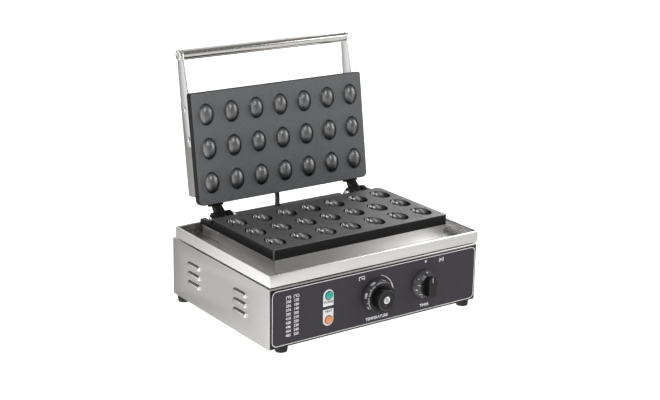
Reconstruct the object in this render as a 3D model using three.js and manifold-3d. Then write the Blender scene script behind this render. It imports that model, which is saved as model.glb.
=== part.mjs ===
// A countertop walnut cookie maker: a sheet-metal base with two dials, a fixed plate with
// 21 walnut-half moulds, and a hinged lid whose plate carries the 21 matching domes.
// Millimetres, +Z up, the front towards -Y. The lid is modelled closed and then turned open.
import * as THREE from 'three';
import { mergeVertices } from 'three/addons/utils/BufferGeometryUtils.js';
import Module from 'manifold-3d';

const wasm = await Module();
wasm.setup();

// Body: a folded steel box, open below, closed by a flanged-in bottom sheet.
const bodyWidth = 400;
const bodyDepth = 287;
const bodyHeight = 96.5;
const bodySheet = 1.2;
const bottomSheet = 1.2;
const flangeWidth = 20;
const fitGap = 0.3;
const overrun = 2;
const weldTolerance = 0.0001;

// The hot plates, the lid and the feet sit this far right of the body's middle.
const plateOffset = 7;

// Rubber feet and their screws.
const footHeight = 12;
const footTopRadius = 10.6;
const footRadius = 9.6;
const footFrontLeftInset = 32;
const footFrontRightInset = 13;
const footRearSideInset = 13;
const footFrontInset = 15;
const footRearInset = 11.5;
const footRecessRadius = 6;
const footRecessDepth = 6;
const footHeadRadius = 5;
const footHeadHeight = 3.3;
const footScrewRadius = 2.5;
const footScrewEnd = 3;
const screwClearance = 0.3;

// Pressed louvres, open below: two groups of three on each side.
const louvreLength = 41;
const louvreHeight = 7;
const louvreBulge = 4;
const louvreSheet = 1;
const louvreRows = 3;
const louvrePitch = 15.8;
const louvreLowest = 33;
const louvreFrontGroup = 80;
const louvreRearGroup = 218.5;
const louvreSides = 8;
const louvreRings = 6;

// Control fascia on the front wall, and the lamp label on it.
const fasciaThickness = 0.8;
const fasciaSideMargin = 2.5;
const fasciaTopMargin = 2.5;
const fasciaBottomMargin = 1;
const controlHeight = 48.5;
const temperatureFromMiddle = -2.3;
const timerFromMiddle = 91.5;
const lampFromMiddle = -92.8;
const lampSpacing = 39.2;
const lampLowerHeight = 27.5;
const labelWidth = 21;
const labelLength = 58.5;
const labelCorner = 9.8;
const labelThickness = 0.5;
const labelSeam = 5;
const bezelRadius = 7.2;
const bezelThickness = 1.2;
const lampBarrelRadius = 5;
const lampBarrelLength = 26;
const lampSocketRadius = 4.2;
const lampSocketDepth = 6;
const lensRadius = 6;
const lensHeight = 3.4;
const lensStubLength = 5;

// Thermostat and timer behind the front wall, each held by one nut on its neck.
const neckRadius = 4.8;
const neckLength = 7;
const neckNutFlats = 14;
const neckNutHeight = 2.5;
const nutWindowRadius = 9;
const shaftRadius = 3;
const shaftBoreDepth = 12;
const shaftReach = 19;
const thermostatWidth = 46;
const thermostatHeight = 38;
const thermostatDepth = 30;
const timerSize = 52;
const timerDepth = 38;
const caseCorner = 4;

// Temperature dial: a tapered skirt with a round fluted grip.
const knobGap = 1;
const dialRadius = 26.5;
const dialRingRadius = 24;
const dialSkirtHeight = 14;
const dialRingWidth = 5.5;
const dialRingDepth = 2;
const dialGripRadius = 16.6;
const dialGripFrontRadius = 15.8;
const dialHeight = 27;
const dialFlutes = 12;
const dialFluteRadius = 1.6;
const knobHollowRadius = 12;
const knobHollowDepth = 9;
const knobPocketDepth = 22;
const capRadius = 5.8;
const capRecess = 0.8;
const capCrown = 1.2;

// Timer dial: a tapered skirt with a ribbed finger bar.
const timerRadius = 23.8;
const timerRingRadius = 20;
const timerSkirtHeight = 13.5;
const timerBarWidth = 15;
const timerBarLength = 37;
const timerBarHeight = 8.5;
const timerRibs = 5;
const timerRibRadius = 0.9;
const timerRibPitch = 4.5;

// Drip tray on the body's top, standing on four pressed feet.
const traySideRoom = 32.1;
const trayDepth = 279.6;
const trayShift = 2;
const traySetback = 0.4;
const traySheet = 1.2;
const trayStandoff = 1.7;
const trayWallHeight = 18.7;
const trayHem = 1.2;
const trayHemHeight = 3;
const trayFootRadius = 7;

// Heater housing under the lower plate, and the rear support under its hinge ledge.
const housingSheet = 1.2;
const housingHeight = 20.1;
const housingInset = 5;
const housingFrontInset = 1;
const housingRearInset = 13.5;
const supportGap = 1;
const seamNotchLength = 7;
const seamNotchHeight = 3;
const seamNotchRise = 7;

// Plates: both castings share this outline and mould pattern.
const plateWidth = 336;
const plateDepth = 183;
const plateSetback = 47.5;
const plateFrontCorner = 3.5;
const plateRearCorner = 9;
const plateEdge = 1.4;
const lowerPlateThickness = 17;
const upperPlateThickness = 12.5;
const closedGap = 0.5;
const mouldColumns = 7;
const mouldRows = 3;
const mouldSideMargin = 25.8;
const rowPitch = 55.5;
const cavityWidth = 30;
const cavityLength = 42;
const cavityDepth = 13.5;
const domeWidth = 26.4;
const domeLength = 34.8;
const domeHeight = 10.5;

// Hinges: each pair of cast ears behind the lower plate takes one tongue of the upper plate.
const ledgeDepth = 35;
const ledgeThickness = 8;
const hingeSetback = 22.1;
const hingeDrop = 10;
const hingeSideInset = 33;
const earRadius = 10;
const earWidth = 9;
const tongueWidth = 14;
const tongueRadius = 9;
const tongueTop = 4;
const tongueOverlap = 3;
const hingeSideGap = 1;
const notchMargin = 3;
const hingeBoltRadius = 4;
const hingeBoreGap = 0.3;
const hingeHeadRadius = 6.5;
const hingeHeadLength = 5;
const hingeNutFlats = 13;
const hingeNutLength = 6.5;
const hingeBoltEnd = 3;

// Four bolts from under the body's top clamp tray, housing, support and lower plate.
const tieBoltRadius = 2.5;
const tieHeadFlats = 8;
const tieHeadHeight = 3.5;
const tieBoltDepth = 5.5;
const tieFrontColumnShare = 2.5;
const tieFrontRowShare = 0.5;
const tieRearColumnShare = 1.5;
const tieRearRoom = 28;

// Heating elements: a bent tube with four runs and two end pins.
const elementRadius = 3.5;
const elementSideInset = 53;
const elementInnerHalfPitch = 18;
const elementOuterHalfPitch = 60;
const elementTail = 25;
const lowerPinLength = 34;
const upperPinLength = 22;
const pinHoleRadius = 6;
const clampSheet = 1;
const packInset = 6;
const sensorRadius = 3;
const sensorLength = 60;
const sensorTubeRadius = 1.2;
const sensorHoleRadius = 3;
const sensorBend = 9;
const sensorSteps = 26;
const sensorSides = 6;

// Lid: a sheet cover on the upper plate, two arms and a round handle bar.
const coverSheet = 1;
const coverInset = 8;
const coverFrontInset = 10.6;
const coverRearInset = 10.4;
const coverHeight = 36;
const coverCorner = 3;
const sideRibThickness = 13;
const sideRibFront = 18;
const sideRibLength = 74;
const sideRibHeight = 25;
const lidPackHeight = 22;
const lidPackSideInset = 28;
const armThickness = 3;
const armHeadRadius = 8.5;
const handleForward = 60.5;
const handleRise = 32;
const armWaistLower = 16.3;
const armWaistUpper = 41.8;
const armWaistSetback = 5;
const armEndLower = 19.1;
const armEndUpper = 31.4;
const armEndSetback = 88;
const armScrewRadius = 2.5;
const armScrewHeadRadius = 4.2;
const armScrewHeadHeight = 2.2;
const armScrewDepth = 11;
const armScrewFrontSetback = 27.1;
const armScrewFrontRise = 30;
const armScrewRearSetback = 75.9;
const armScrewRearRise = 26.2;
const handleRadius = 8.5;
const handleScrewRadius = 3;
const handleScrewDepth = 16;
const handleCapThickness = 3;

// Flexible lead between the base's rear wall and the lid.
const leadRadius = 4;
const leadHeight = 88;
const leadNutFlats = 16;
const leadNutLength = 5;
const leadCollarRadius = 6.2;
const leadCollarLength = 9;
const leadShankRadius = 5.5;
const leadShankLength = 9;
const leadReach = 48.2;
const leadSteps = 40;
const leadSides = 10;
const leadRouteShares = [
  [0.261, -0.016],
  [0.502, -0.077],
  [0.724, -0.119],
  [0.927, -0.048],
  [1.014, 0.097],
  [0.943, 0.235],
  [0.741, 0.31],
  [0.463, 0.326],
  [0.209, 0.361],
  [0.031, 0.455],
  [-0.041, 0.629],
];

// Mains inlet gland and the terminal block inside.
const glandFromMiddle = 130;
const glandHeight = 42;
const glandRadius = 9;
const glandFlangeRadius = 12;
const glandFlangeLength = 3;
const glandLength = 12;
const glandBoreRadius = 4;
const blockWidth = 54;
const blockDepth = 22;
const blockHeight = 20;
const blockFromMiddle = 95;
const blockFromRear = 46;
const blockPoles = 3;
const poleRadius = 3.5;
const poleDepth = 9;

const lidOpenAngle = THREE.MathUtils.degToRad(98.6);

const roundSides = 20;
const smallSides = 10;
const tubeSides = 8;
const sixSides = 6;
const mouldSides = 12;
const mouldRings = 6;
const cornerSteps = 4;
const dialSides = 30;
const halfTurn = Math.PI;
const quarterTurn = Math.PI / 2;

// Places worked out from the sizes above.
const bodyFront = -bodyDepth / 2;
const bodyRear = bodyDepth / 2;
const bodyBottom = footHeight;
const bodyTop = bodyBottom + bodyHeight;
const deckUnderside = bodyTop - bodySheet;
const frontWallBack = bodyFront + bodySheet;
const fasciaFace = bodyFront - fasciaThickness;
const controlZ = bodyBottom + controlHeight;
const trayBottom = bodyTop + trayStandoff;
const trayFloor = trayBottom + traySheet;
const trayFront = bodyFront + traySetback;
const housingTop = trayFloor + housingHeight;
const lowerPlateTop = housingTop + lowerPlateThickness;
const upperFace = lowerPlateTop + closedGap;
const upperBack = upperFace + upperPlateThickness;
const trayWidth = plateWidth + traySideRoom * 2;
const hingeSpread = plateWidth / 2 - hingeSideInset;
const columnPitch = (plateWidth - mouldSideMargin * 2) / (mouldColumns - 1);
const elementHalfLength = plateWidth / 2 - elementSideInset;
const plateLeft = plateOffset - plateWidth / 2;
const plateRight = plateOffset + plateWidth / 2;
const plateFront = bodyFront + plateSetback;
const plateRear = plateFront + plateDepth;
const plateMiddle = (plateFront + plateRear) / 2;
const ledgeRear = plateRear + ledgeDepth;
const housingLeft = plateLeft + housingInset;
const housingRight = plateRight - housingInset;
const housingFront = plateFront + housingFrontInset;
const housingRear = plateRear - housingRearInset;
const supportFront = housingRear + supportGap;
const hingeY = plateRear + hingeSetback;
const hingeZ = lowerPlateTop - hingeDrop;
const coverLeft = plateLeft + coverInset;
const coverRight = plateRight - coverInset;
const coverFront = plateFront + coverFrontInset;
const coverRear = plateRear - coverRearInset;
const coverBottom = upperBack + fitGap;
const coverTop = coverBottom + coverHeight;
const leadEntryZ = coverBottom + coverHeight / 2;

const finishes = {
  steel: { color: 0xc6c6c4, roughness: 0.34, metalness: 1 },
  brightSteel: { color: 0xdcdcda, roughness: 0.2, metalness: 1 },
  castIron: { color: 0x3c3d3e, roughness: 0.55, metalness: 0.3 },
  blackPlastic: { color: 0x17171a, roughness: 0.35, metalness: 0 },
  fascia: { color: 0x3a3840, roughness: 0.45, metalness: 0 },
  label: { color: 0xe9e9e6, roughness: 0.5, metalness: 0 },
  greenLens: { color: 0x1fa06a, roughness: 0.15, metalness: 0 },
  amberLens: { color: 0xd8612a, roughness: 0.15, metalness: 0 },
  rubber: { color: 0x141414, roughness: 0.85, metalness: 0 },
  zinc: { color: 0xa9abad, roughness: 0.4, metalness: 1 },
  wool: { color: 0xe4e0d3, roughness: 1, metalness: 0 },
  ceramic: { color: 0xeeece6, roughness: 0.6, metalness: 0 },
};

const machine = new THREE.Group();
const base = new THREE.Group();
const lid = new THREE.Group();
const lidPieces = new THREE.Group();
machine.add(base, lid);
lid.add(lidPieces);

// Turns a closed three.js geometry into a solid that can be joined and cut.
function solid(geometry) {
  const bare = geometry.clone();
  bare.deleteAttribute('normal');
  bare.deleteAttribute('uv');
  const merged = mergeVertices(bare, weldTolerance);
  const index = Uint32Array.from(merged.index.array);
  const points = Float32Array.from(merged.attributes.position.array);
  return new wasm.Manifold(
    new wasm.Mesh({ numProp: 3, vertProperties: points, triVerts: index }),
  );
}

function join(...solids) {
  return solids.reduce((sum, next) => sum.add(next));
}

function cut(body, ...tools) {
  return tools.reduce((left, tool) => left.subtract(tool), body);
}

// Adds a finished solid to a group as a named mesh.
function place(group, name, body, finish) {
  const { vertProperties, triVerts, numProp } = body.getMesh();
  const points = new Float32Array((vertProperties.length / numProp) * 3);
  for (let i = 0; i < points.length / 3; i += 1) {
    points.set(vertProperties.subarray(i * numProp, i * numProp + 3), i * 3);
  }
  const geometry = new THREE.BufferGeometry();
  geometry.setAttribute('position', new THREE.BufferAttribute(points, 3));
  geometry.setIndex(new THREE.BufferAttribute(triVerts, 1));
  geometry.computeVertexNormals();
  const material = new THREE.MeshStandardMaterial({ ...finish, flatShading: true });
  const mesh = new THREE.Mesh(geometry, material);
  mesh.name = name;
  group.add(mesh);
}

// A block between two corners.
function block(x0, x1, y0, y1, z0, z1) {
  const geometry = new THREE.BoxGeometry(x1 - x0, y1 - y0, z1 - z0);
  geometry.translate((x0 + x1) / 2, (y0 + y1) / 2, (z0 + z1) / 2);
  return solid(geometry);
}

// Turns a geometry made along +Z so that it lies along the named axis.
function aim(geometry, axis) {
  if (axis === 'x') geometry.rotateY(quarterTurn);
  if (axis === 'y') geometry.rotateX(-quarterTurn);
  return geometry;
}

// A round or six-sided bar from a start point along an axis; its length may be negative.
function bar(axis, radius, length, start, sides = roundSides) {
  const geometry = new THREE.CylinderGeometry(radius, radius, Math.abs(length), sides);
  geometry.rotateX(quarterTurn);
  aim(geometry, axis);
  const middle = new THREE.Vector3(...start);
  middle[axis] += length / 2;
  geometry.translate(middle.x, middle.y, middle.z);
  return solid(geometry);
}

function hexBar(axis, flats, length, start) {
  return bar(axis, flats / 2 / Math.cos(halfTurn / sixSides), length, start, sixSides);
}

// A turned piece: its outline is a list of [radius, height] from the axis back to the axis.
function turned(outline, sides = roundSides) {
  const points = outline.map(([radius, height]) => new THREE.Vector2(radius, height));
  return new THREE.LatheGeometry(points, sides).rotateX(quarterTurn);
}

// The same piece with its heights measured forwards from the front of the machine.
function turnedForward(outline, x, y, z, sides = roundSides) {
  const geometry = turned(outline, sides);
  geometry.rotateX(quarterTurn);
  geometry.translate(x, y, z);
  return solid(geometry);
}

function ellipsoid(width, length, height, x, y, z, sides = mouldSides, rings = mouldRings) {
  const geometry = new THREE.SphereGeometry(1, sides, rings);
  geometry.rotateX(quarterTurn);
  geometry.scale(width / 2, length / 2, height);
  geometry.translate(x, y, z);
  return solid(geometry);
}

// A rectangle with one radius at its two front corners and another at its two rear ones.
function outline(x0, x1, y0, y1, frontRadius, rearRadius) {
  const shape = new THREE.Shape();
  shape.moveTo(x0 + frontRadius, y0);
  shape.lineTo(x1 - frontRadius, y0);
  shape.absarc(x1 - frontRadius, y0 + frontRadius, frontRadius, -quarterTurn, 0);
  shape.lineTo(x1, y1 - rearRadius);
  shape.absarc(x1 - rearRadius, y1 - rearRadius, rearRadius, 0, quarterTurn);
  shape.lineTo(x0 + rearRadius, y1);
  shape.absarc(x0 + rearRadius, y1 - rearRadius, rearRadius, quarterTurn, halfTurn);
  shape.lineTo(x0, y0 + frontRadius);
  shape.absarc(x0 + frontRadius, y0 + frontRadius, frontRadius, halfTurn, halfTurn * 1.5);
  return shape;
}

function slab(shape, z0, z1) {
  const options = { depth: z1 - z0, bevelEnabled: false, curveSegments: cornerSteps };
  return solid(new THREE.ExtrudeGeometry(shape, options).translate(0, 0, z0));
}

// A slab with softened edges, as a sand casting has.
function castSlab(shape, z0, z1, edge) {
  const options = {
    depth: z1 - z0 - edge * 2,
    bevelEnabled: true,
    bevelSize: edge,
    bevelThickness: edge,
    bevelOffset: -edge,
    bevelSegments: 2,
    curveSegments: cornerSteps,
  };
  return solid(new THREE.ExtrudeGeometry(shape, options).translate(0, 0, z0 + edge));
}

// A profile drawn in the YZ plane and extruded along X.
function sideProfile(points, x0, x1) {
  const shape = new THREE.Shape(points.map(([y, z]) => new THREE.Vector2(y, z)));
  const options = { depth: x1 - x0, bevelEnabled: false };
  const geometry = new THREE.ExtrudeGeometry(shape, options);
  geometry.rotateX(quarterTurn).rotateZ(quarterTurn).translate(x0, 0, 0);
  return solid(geometry);
}

// Points of an arc in the YZ plane, from one angle to another.
function arcPoints(y, z, radius, from, to, steps = smallSides) {
  return Array.from({ length: steps + 1 }, (_, i) => {
    const angle = from + ((to - from) * i) / steps;
    return [y + radius * Math.cos(angle), z + radius * Math.sin(angle)];
  });
}

// Visits each mould place: column and row from the middle of the pattern.
function mouldPlaces() {
  const places = [];
  for (let row = 0; row < mouldRows; row += 1) {
    for (let column = 0; column < mouldColumns; column += 1) {
      places.push({
        x: plateOffset + (column - (mouldColumns - 1) / 2) * columnPitch,
        y: plateMiddle + (row - (mouldRows - 1) / 2) * rowPitch,
      });
    }
  }
  return places;
}

const footFrontY = bodyFront + footFrontInset;
const footRearY = bodyRear - footRearInset;
const footRearX = bodyWidth / 2 - footRearSideInset;
const footPlaces = [
  { name: 'front_left', x: footFrontLeftInset - bodyWidth / 2, y: footFrontY },
  { name: 'front_right', x: bodyWidth / 2 - footFrontRightInset, y: footFrontY },
  { name: 'rear_left', x: -footRearX, y: footRearY },
  { name: 'rear_right', x: footRearX, y: footRearY },
];

const tieFrontSpread = columnPitch * tieFrontColumnShare;
const tieFrontY = plateMiddle - rowPitch * tieFrontRowShare;
const tieRearSpread = columnPitch * tieRearColumnShare;
const tieRearY = supportFront + tieRearRoom;
const tiePlaces = [
  { name: 'front_left', x: plateOffset - tieFrontSpread, y: tieFrontY },
  { name: 'front_right', x: plateOffset + tieFrontSpread, y: tieFrontY },
  { name: 'rear_left', x: plateOffset - tieRearSpread, y: tieRearY },
  { name: 'rear_right', x: plateOffset + tieRearSpread, y: tieRearY },
];

// Where each element's two pins leave it: at the left, on the first and the last run.
const pinX = plateOffset - elementHalfLength - elementTail;
const pinYs = [plateMiddle - elementOuterHalfPitch, plateMiddle + elementOuterHalfPitch];
const sensorHoleX = plateOffset + sensorLength / 2 + sensorHoleRadius * 3;
const temperatureX = temperatureFromMiddle;
const timerX = timerFromMiddle;
const lampX = lampFromMiddle;
const lampZs = [
  bodyBottom + lampLowerHeight,
  bodyBottom + lampLowerHeight + lampSpacing,
];

// Holes through the body's top, the tray and the housing floor, all in line.
function throughHoles(z0, z1) {
  const ties = tiePlaces.map(({ x, y }) =>
    bar('z', tieBoltRadius + screwClearance, z1 - z0, [x, y, z0], smallSides));
  const pins = pinYs.map((y) => bar('z', pinHoleRadius, z1 - z0, [pinX, y, z0], smallSides));
  const start = [sensorHoleX, plateMiddle, z0];
  return [...ties, ...pins, bar('z', sensorHoleRadius, z1 - z0, start, smallSides)];
}

function makeBaseShell() {
  const left = -bodyWidth / 2;
  const right = bodyWidth / 2;
  const innerLeft = left + bodySheet;
  const innerRight = right - bodySheet;
  const innerRear = bodyRear - bodySheet;
  const flangeBottom = bodyBottom + bottomSheet;
  const flangeTop = flangeBottom + bodySheet;
  let shell = cut(
    block(left, right, bodyFront, bodyRear, bodyBottom, bodyTop),
    block(
      innerLeft, innerRight, frontWallBack, innerRear, bodyBottom - overrun, deckUnderside,
    ),
  );
  const flange = cut(
    block(
      left + bodySheet / 2, right - bodySheet / 2,
      bodyFront + bodySheet / 2, bodyRear - bodySheet / 2, flangeBottom, flangeTop,
    ),
    block(
      innerLeft + flangeWidth, innerRight - flangeWidth,
      frontWallBack + flangeWidth, innerRear - flangeWidth,
      flangeBottom - overrun, flangeTop + overrun,
    ),
  );
  shell = join(shell, flange);

  for (const side of [-1, 1]) {
    const wall = side * bodyWidth / 2;
    const wallInside = wall - side * bodySheet;
    const reach = louvreBulge + bodySheet;
    for (const group of [louvreFrontGroup, louvreRearGroup]) {
      for (let row = 0; row < louvreRows; row += 1) {
        const y = bodyFront + group;
        const z = bodyBottom + louvreLowest + row * louvrePitch;
        const outside = block(
          Math.min(wallInside, wall + side * louvreBulge * 2),
          Math.max(wallInside, wall + side * louvreBulge * 2),
          y - louvreLength, y + louvreLength, z, z + louvreHeight * 2,
        );
        const hood = ellipsoid(
          reach * 2, louvreLength, louvreHeight, wallInside, y, z, louvreSides, louvreRings,
        );
        const hollow = ellipsoid(
          (reach - louvreSheet) * 2, louvreLength - louvreSheet * 4,
          louvreHeight - louvreSheet, wallInside, y, z, louvreSides, louvreRings,
        );
        const above = block(
          wall - reach * 2, wall + reach * 2,
          y - louvreLength, y + louvreLength, z, z + louvreHeight * 2,
        );
        shell = cut(join(shell, hood.intersect(outside)), hollow.intersect(above));
      }
    }
  }

  const holes = throughHoles(deckUnderside - overrun, bodyTop + overrun);
  for (const { x, y } of footPlaces) {
    const radius = footScrewRadius + screwClearance;
    const start = [x, y, flangeBottom - overrun];
    holes.push(bar('z', radius, bodySheet + overrun * 2, start, smallSides));
  }
  const wallRun = bodySheet + overrun * 2;
  for (const x of [temperatureX, timerX]) {
    holes.push(bar('y', neckRadius + fitGap, wallRun, [x, bodyFront - overrun, controlZ]));
  }
  for (const z of lampZs) {
    const start = [lampX, bodyFront - overrun, z];
    holes.push(bar('y', lampBarrelRadius + fitGap, wallRun, start));
  }
  const rearStart = bodyRear - bodySheet - overrun;
  holes.push(bar('y', leadShankRadius + fitGap, wallRun, [plateOffset, rearStart, leadHeight]));
  holes.push(bar(
    'y', glandRadius + fitGap, wallRun, [glandFromMiddle, rearStart, bodyBottom + glandHeight],
  ));
  place(base, 'base_shell', cut(shell, ...holes), finishes.steel);
}

function makeBottomAndFeet() {
  const inset = bodySheet + fitGap;
  const holes = footPlaces.map(({ x, y }) => {
    const start = [x, y, bodyBottom - overrun];
    const run = bottomSheet + overrun * 2;
    return bar('z', footScrewRadius + screwClearance, run, start, smallSides);
  });
  const sheet = block(
    -bodyWidth / 2 + inset, bodyWidth / 2 - inset,
    bodyFront + inset, bodyRear - inset, bodyBottom, bodyBottom + bottomSheet,
  );
  place(base, 'bottom_plate', cut(sheet, ...holes), finishes.zinc);

  const screwTop = bodyBottom + bottomSheet + bodySheet + footScrewEnd;
  for (const { name, x, y } of footPlaces) {
    const foot = solid(turned([
      [0, 0], [footRadius, 0], [footTopRadius, footHeight], [0, footHeight],
    ]).translate(x, y, 0));
    const recess = bar('z', footRecessRadius, footRecessDepth + overrun, [x, y, -overrun]);
    const bore = bar(
      'z', footScrewRadius + screwClearance, footHeight + overrun, [x, y, 0], smallSides,
    );
    place(base, `foot_${name}`, cut(foot, recess, bore), finishes.rubber);
    const headBottom = footRecessDepth - footHeadHeight;
    const screw = join(
      bar('z', footHeadRadius, footHeadHeight, [x, y, headBottom], smallSides),
      bar('z', footScrewRadius, screwTop - headBottom, [x, y, headBottom], smallSides),
    );
    place(base, `foot_screw_${name}`, screw, finishes.zinc);
  }
}

function makeFascia() {
  let fascia = block(
    -bodyWidth / 2 + fasciaSideMargin, bodyWidth / 2 - fasciaSideMargin,
    fasciaFace, bodyFront, bodyBottom + fasciaBottomMargin, bodyTop - fasciaTopMargin,
  );
  const run = fasciaThickness + overrun * 2;
  for (const x of [temperatureX, timerX]) {
    const start = [x, fasciaFace - overrun, controlZ];
    fascia = cut(fascia, bar('y', nutWindowRadius, run, start));
  }
  for (const z of lampZs) {
    const start = [lampX, fasciaFace - overrun, z];
    fascia = cut(fascia, bar('y', lampBarrelRadius + fitGap, run, start));
  }
  place(base, 'front_fascia', fascia, finishes.fascia);

  const labelMiddle = (lampZs[0] + lampZs[1]) / 2;
  const shape = outline(
    lampX - labelWidth / 2, lampX + labelWidth / 2,
    labelMiddle - labelLength / 2, labelMiddle + labelLength / 2, labelCorner, labelCorner,
  );
  const options = { depth: labelThickness, bevelEnabled: false, curveSegments: cornerSteps };
  const plate = new THREE.ExtrudeGeometry(shape, options);
  plate.rotateX(quarterTurn).translate(0, fasciaFace, 0);
  const face = fasciaFace - labelThickness;
  const seam = block(
    lampX - labelWidth, lampX + labelWidth, face - overrun, face + labelThickness / 2,
    labelMiddle - labelSeam / 2, labelMiddle + labelSeam / 2,
  );
  const holes = lampZs.map((z) => {
    const start = [lampX, face - overrun, z];
    return bar('y', lampBarrelRadius + fitGap, labelThickness + overrun * 2, start);
  });
  place(base, 'lamp_label', cut(solid(plate), seam, ...holes), finishes.label);
}

function makeLamps() {
  const labelFace = fasciaFace - labelThickness;
  const lamps = [
    { name: 'heat_lamp', z: lampZs[0], lens: finishes.amberLens },
    { name: 'power_lamp', z: lampZs[1], lens: finishes.greenLens },
  ];
  for (const { name, z, lens } of lamps) {
    const bezelFace = labelFace - bezelThickness;
    const barrel = join(
      bar('y', bezelRadius, bezelThickness, [lampX, bezelFace, z]),
      bar('y', lampBarrelRadius, lampBarrelLength, [lampX, bezelFace, z]),
    );
    const socket = bar(
      'y', lampSocketRadius, lampSocketDepth + overrun, [lampX, bezelFace - overrun, z],
    );
    place(base, `${name}_body`, cut(barrel, socket), finishes.blackPlastic);
    const stub = lampSocketRadius - fitGap;
    const dome = arcPoints(0, 0, 1, 0, quarterTurn, cornerSteps)
      .map(([across, up]) => [across * lensRadius, up * lensHeight]);
    dome[dome.length - 1][0] = 0;
    const cap = turnedForward(
      [[0, -lensStubLength], [stub, -lensStubLength], [stub, 0], ...dome], lampX, bezelFace, z,
    );
    place(base, `${name}_lens`, cap, lens);
  }
}

// A case behind the front wall with a threaded neck through it and a nut outside.
function makeControlCase(name, x, width, height, depth) {
  const shape = outline(
    x - width / 2, x + width / 2, controlZ - height / 2, controlZ + height / 2,
    caseCorner, caseCorner,
  );
  const options = { depth, bevelEnabled: false, curveSegments: cornerSteps };
  const box = new THREE.ExtrudeGeometry(shape, options);
  box.rotateX(quarterTurn).translate(0, frontWallBack + depth, 0);
  const neckEnd = frontWallBack - neckLength;
  const neck = bar('y', neckRadius, neckLength + overrun, [x, neckEnd, controlZ]);
  const boreRun = neckLength + shaftBoreDepth;
  const bore = bar(
    'y', shaftRadius + fitGap, boreRun + overrun, [x, neckEnd - overrun, controlZ],
  );
  place(base, `${name}_body`, cut(join(solid(box), neck), bore), finishes.ceramic);
  const nutStart = [x, bodyFront, controlZ];
  const nut = cut(
    hexBar('y', neckNutFlats, -neckNutHeight, nutStart),
    bar(
      'y', neckRadius + fitGap, neckNutHeight + overrun * 2,
      [x, bodyFront - neckNutHeight - overrun, controlZ],
    ),
  );
  place(base, `${name}_nut`, nut, finishes.zinc);
}

function makeShaft(name, x) {
  const back = frontWallBack + shaftBoreDepth - fitGap;
  const front = fasciaFace - knobGap - shaftReach;
  const shaft = bar('y', shaftRadius, back - front, [x, front, controlZ]);
  place(base, `${name}_shaft`, shaft, finishes.brightSteel);
}

// The knob's underside: a wide hollow over the nut, then a pocket for the shaft.
function knobHollow(x) {
  const back = fasciaFace - knobGap + overrun;
  return join(
    bar('y', knobHollowRadius, -(knobHollowDepth + overrun), [x, back, controlZ]),
    bar('y', shaftRadius + fitGap, -(knobPocketDepth + overrun), [x, back, controlZ]),
  );
}

function makeTemperatureKnob() {
  const x = temperatureX;
  const back = fasciaFace - knobGap;
  const ringInner = dialRingRadius - dialRingWidth;
  let knob = turnedForward([
    [0, 0],
    [dialRadius, 0],
    [dialRingRadius, dialSkirtHeight],
    [ringInner, dialSkirtHeight],
    [ringInner - capRecess, dialSkirtHeight - dialRingDepth],
    [dialGripRadius, dialSkirtHeight - dialRingDepth],
    [dialGripRadius, dialHeight - capCrown],
    [dialGripFrontRadius, dialHeight],
    [capRadius + fitGap, dialHeight],
    [capRadius + fitGap, dialHeight - capRecess],
    [0, dialHeight - capRecess],
  ], x, back, controlZ, dialSides);
  const fluteFoot = back - dialSkirtHeight + dialRingDepth - capRecess;
  for (let i = 0; i < dialFlutes; i += 1) {
    const angle = (i / dialFlutes) * halfTurn * 2;
    const reach = dialGripRadius + dialFluteRadius / 2;
    const start = [
      x + reach * Math.cos(angle), fluteFoot, controlZ + reach * Math.sin(angle),
    ];
    knob = cut(knob, bar('y', dialFluteRadius, -dialHeight, start, sixSides));
  }
  place(base, 'temperature_knob', cut(knob, knobHollow(x)), finishes.blackPlastic);
  const cap = turnedForward([
    [0, 0],
    [capRadius, 0],
    [capRadius, capRecess],
    [capRadius * 0.75, capRecess + capCrown],
    [0, capRecess + capCrown],
  ], x, back - dialHeight + capRecess, controlZ);
  place(base, 'temperature_knob_cap', cap, finishes.brightSteel);
}

function makeTimerKnob() {
  const x = timerX;
  const back = fasciaFace - knobGap;
  const skirt = turnedForward([
    [0, 0],
    [timerRadius, 0],
    [timerRingRadius, timerSkirtHeight],
    [0, timerSkirtHeight],
  ], x, back, controlZ, dialSides);
  const barBack = back - timerSkirtHeight + overrun;
  const barFront = back - timerSkirtHeight - timerBarHeight;
  let grip = block(
    x - timerBarWidth / 2, x + timerBarWidth / 2, barFront, barBack,
    controlZ - timerBarLength / 2, controlZ + timerBarLength / 2,
  );
  grip = grip.intersect(bar('y', timerBarLength / 2, barBack - barFront, [x, barFront, controlZ]));
  for (const side of [-1, 1]) {
    for (let i = 0; i < timerRibs; i += 1) {
      const z = controlZ + (i - (timerRibs - 1) / 2) * timerRibPitch;
      const groove = bar(
        'y', timerRibRadius, -timerBarHeight * 2,
        [x + side * timerBarWidth / 2, back - timerSkirtHeight, z], sixSides,
      );
      grip = cut(grip, groove);
    }
  }
  place(base, 'timer_knob', cut(join(skirt, grip), knobHollow(x)), finishes.blackPlastic);
}

function makeTray() {
  const left = trayShift - trayWidth / 2;
  const right = trayShift + trayWidth / 2;
  const rear = trayFront + trayDepth;
  const top = trayBottom + trayWallHeight;
  const hemFoot = top - trayHemHeight;
  const inner = traySheet + trayHem;
  let tray = cut(
    block(left, right, trayFront, rear, trayBottom, top),
    block(
      left + traySheet, right - traySheet, trayFront + traySheet, rear - traySheet,
      trayFloor, hemFoot,
    ),
    block(
      left + inner, right - inner, trayFront + inner, rear - inner, hemFoot - overrun,
      top + overrun,
    ),
  );
  for (const { x, y } of tiePlaces) {
    const height = trayStandoff + traySheet / 2;
    tray = join(tray, bar('z', trayFootRadius, height, [x, y, bodyTop]));
  }
  const holes = throughHoles(bodyTop - overrun, trayFloor + overrun);
  place(base, 'drip_tray', cut(tray, ...holes), finishes.steel);
}

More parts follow.
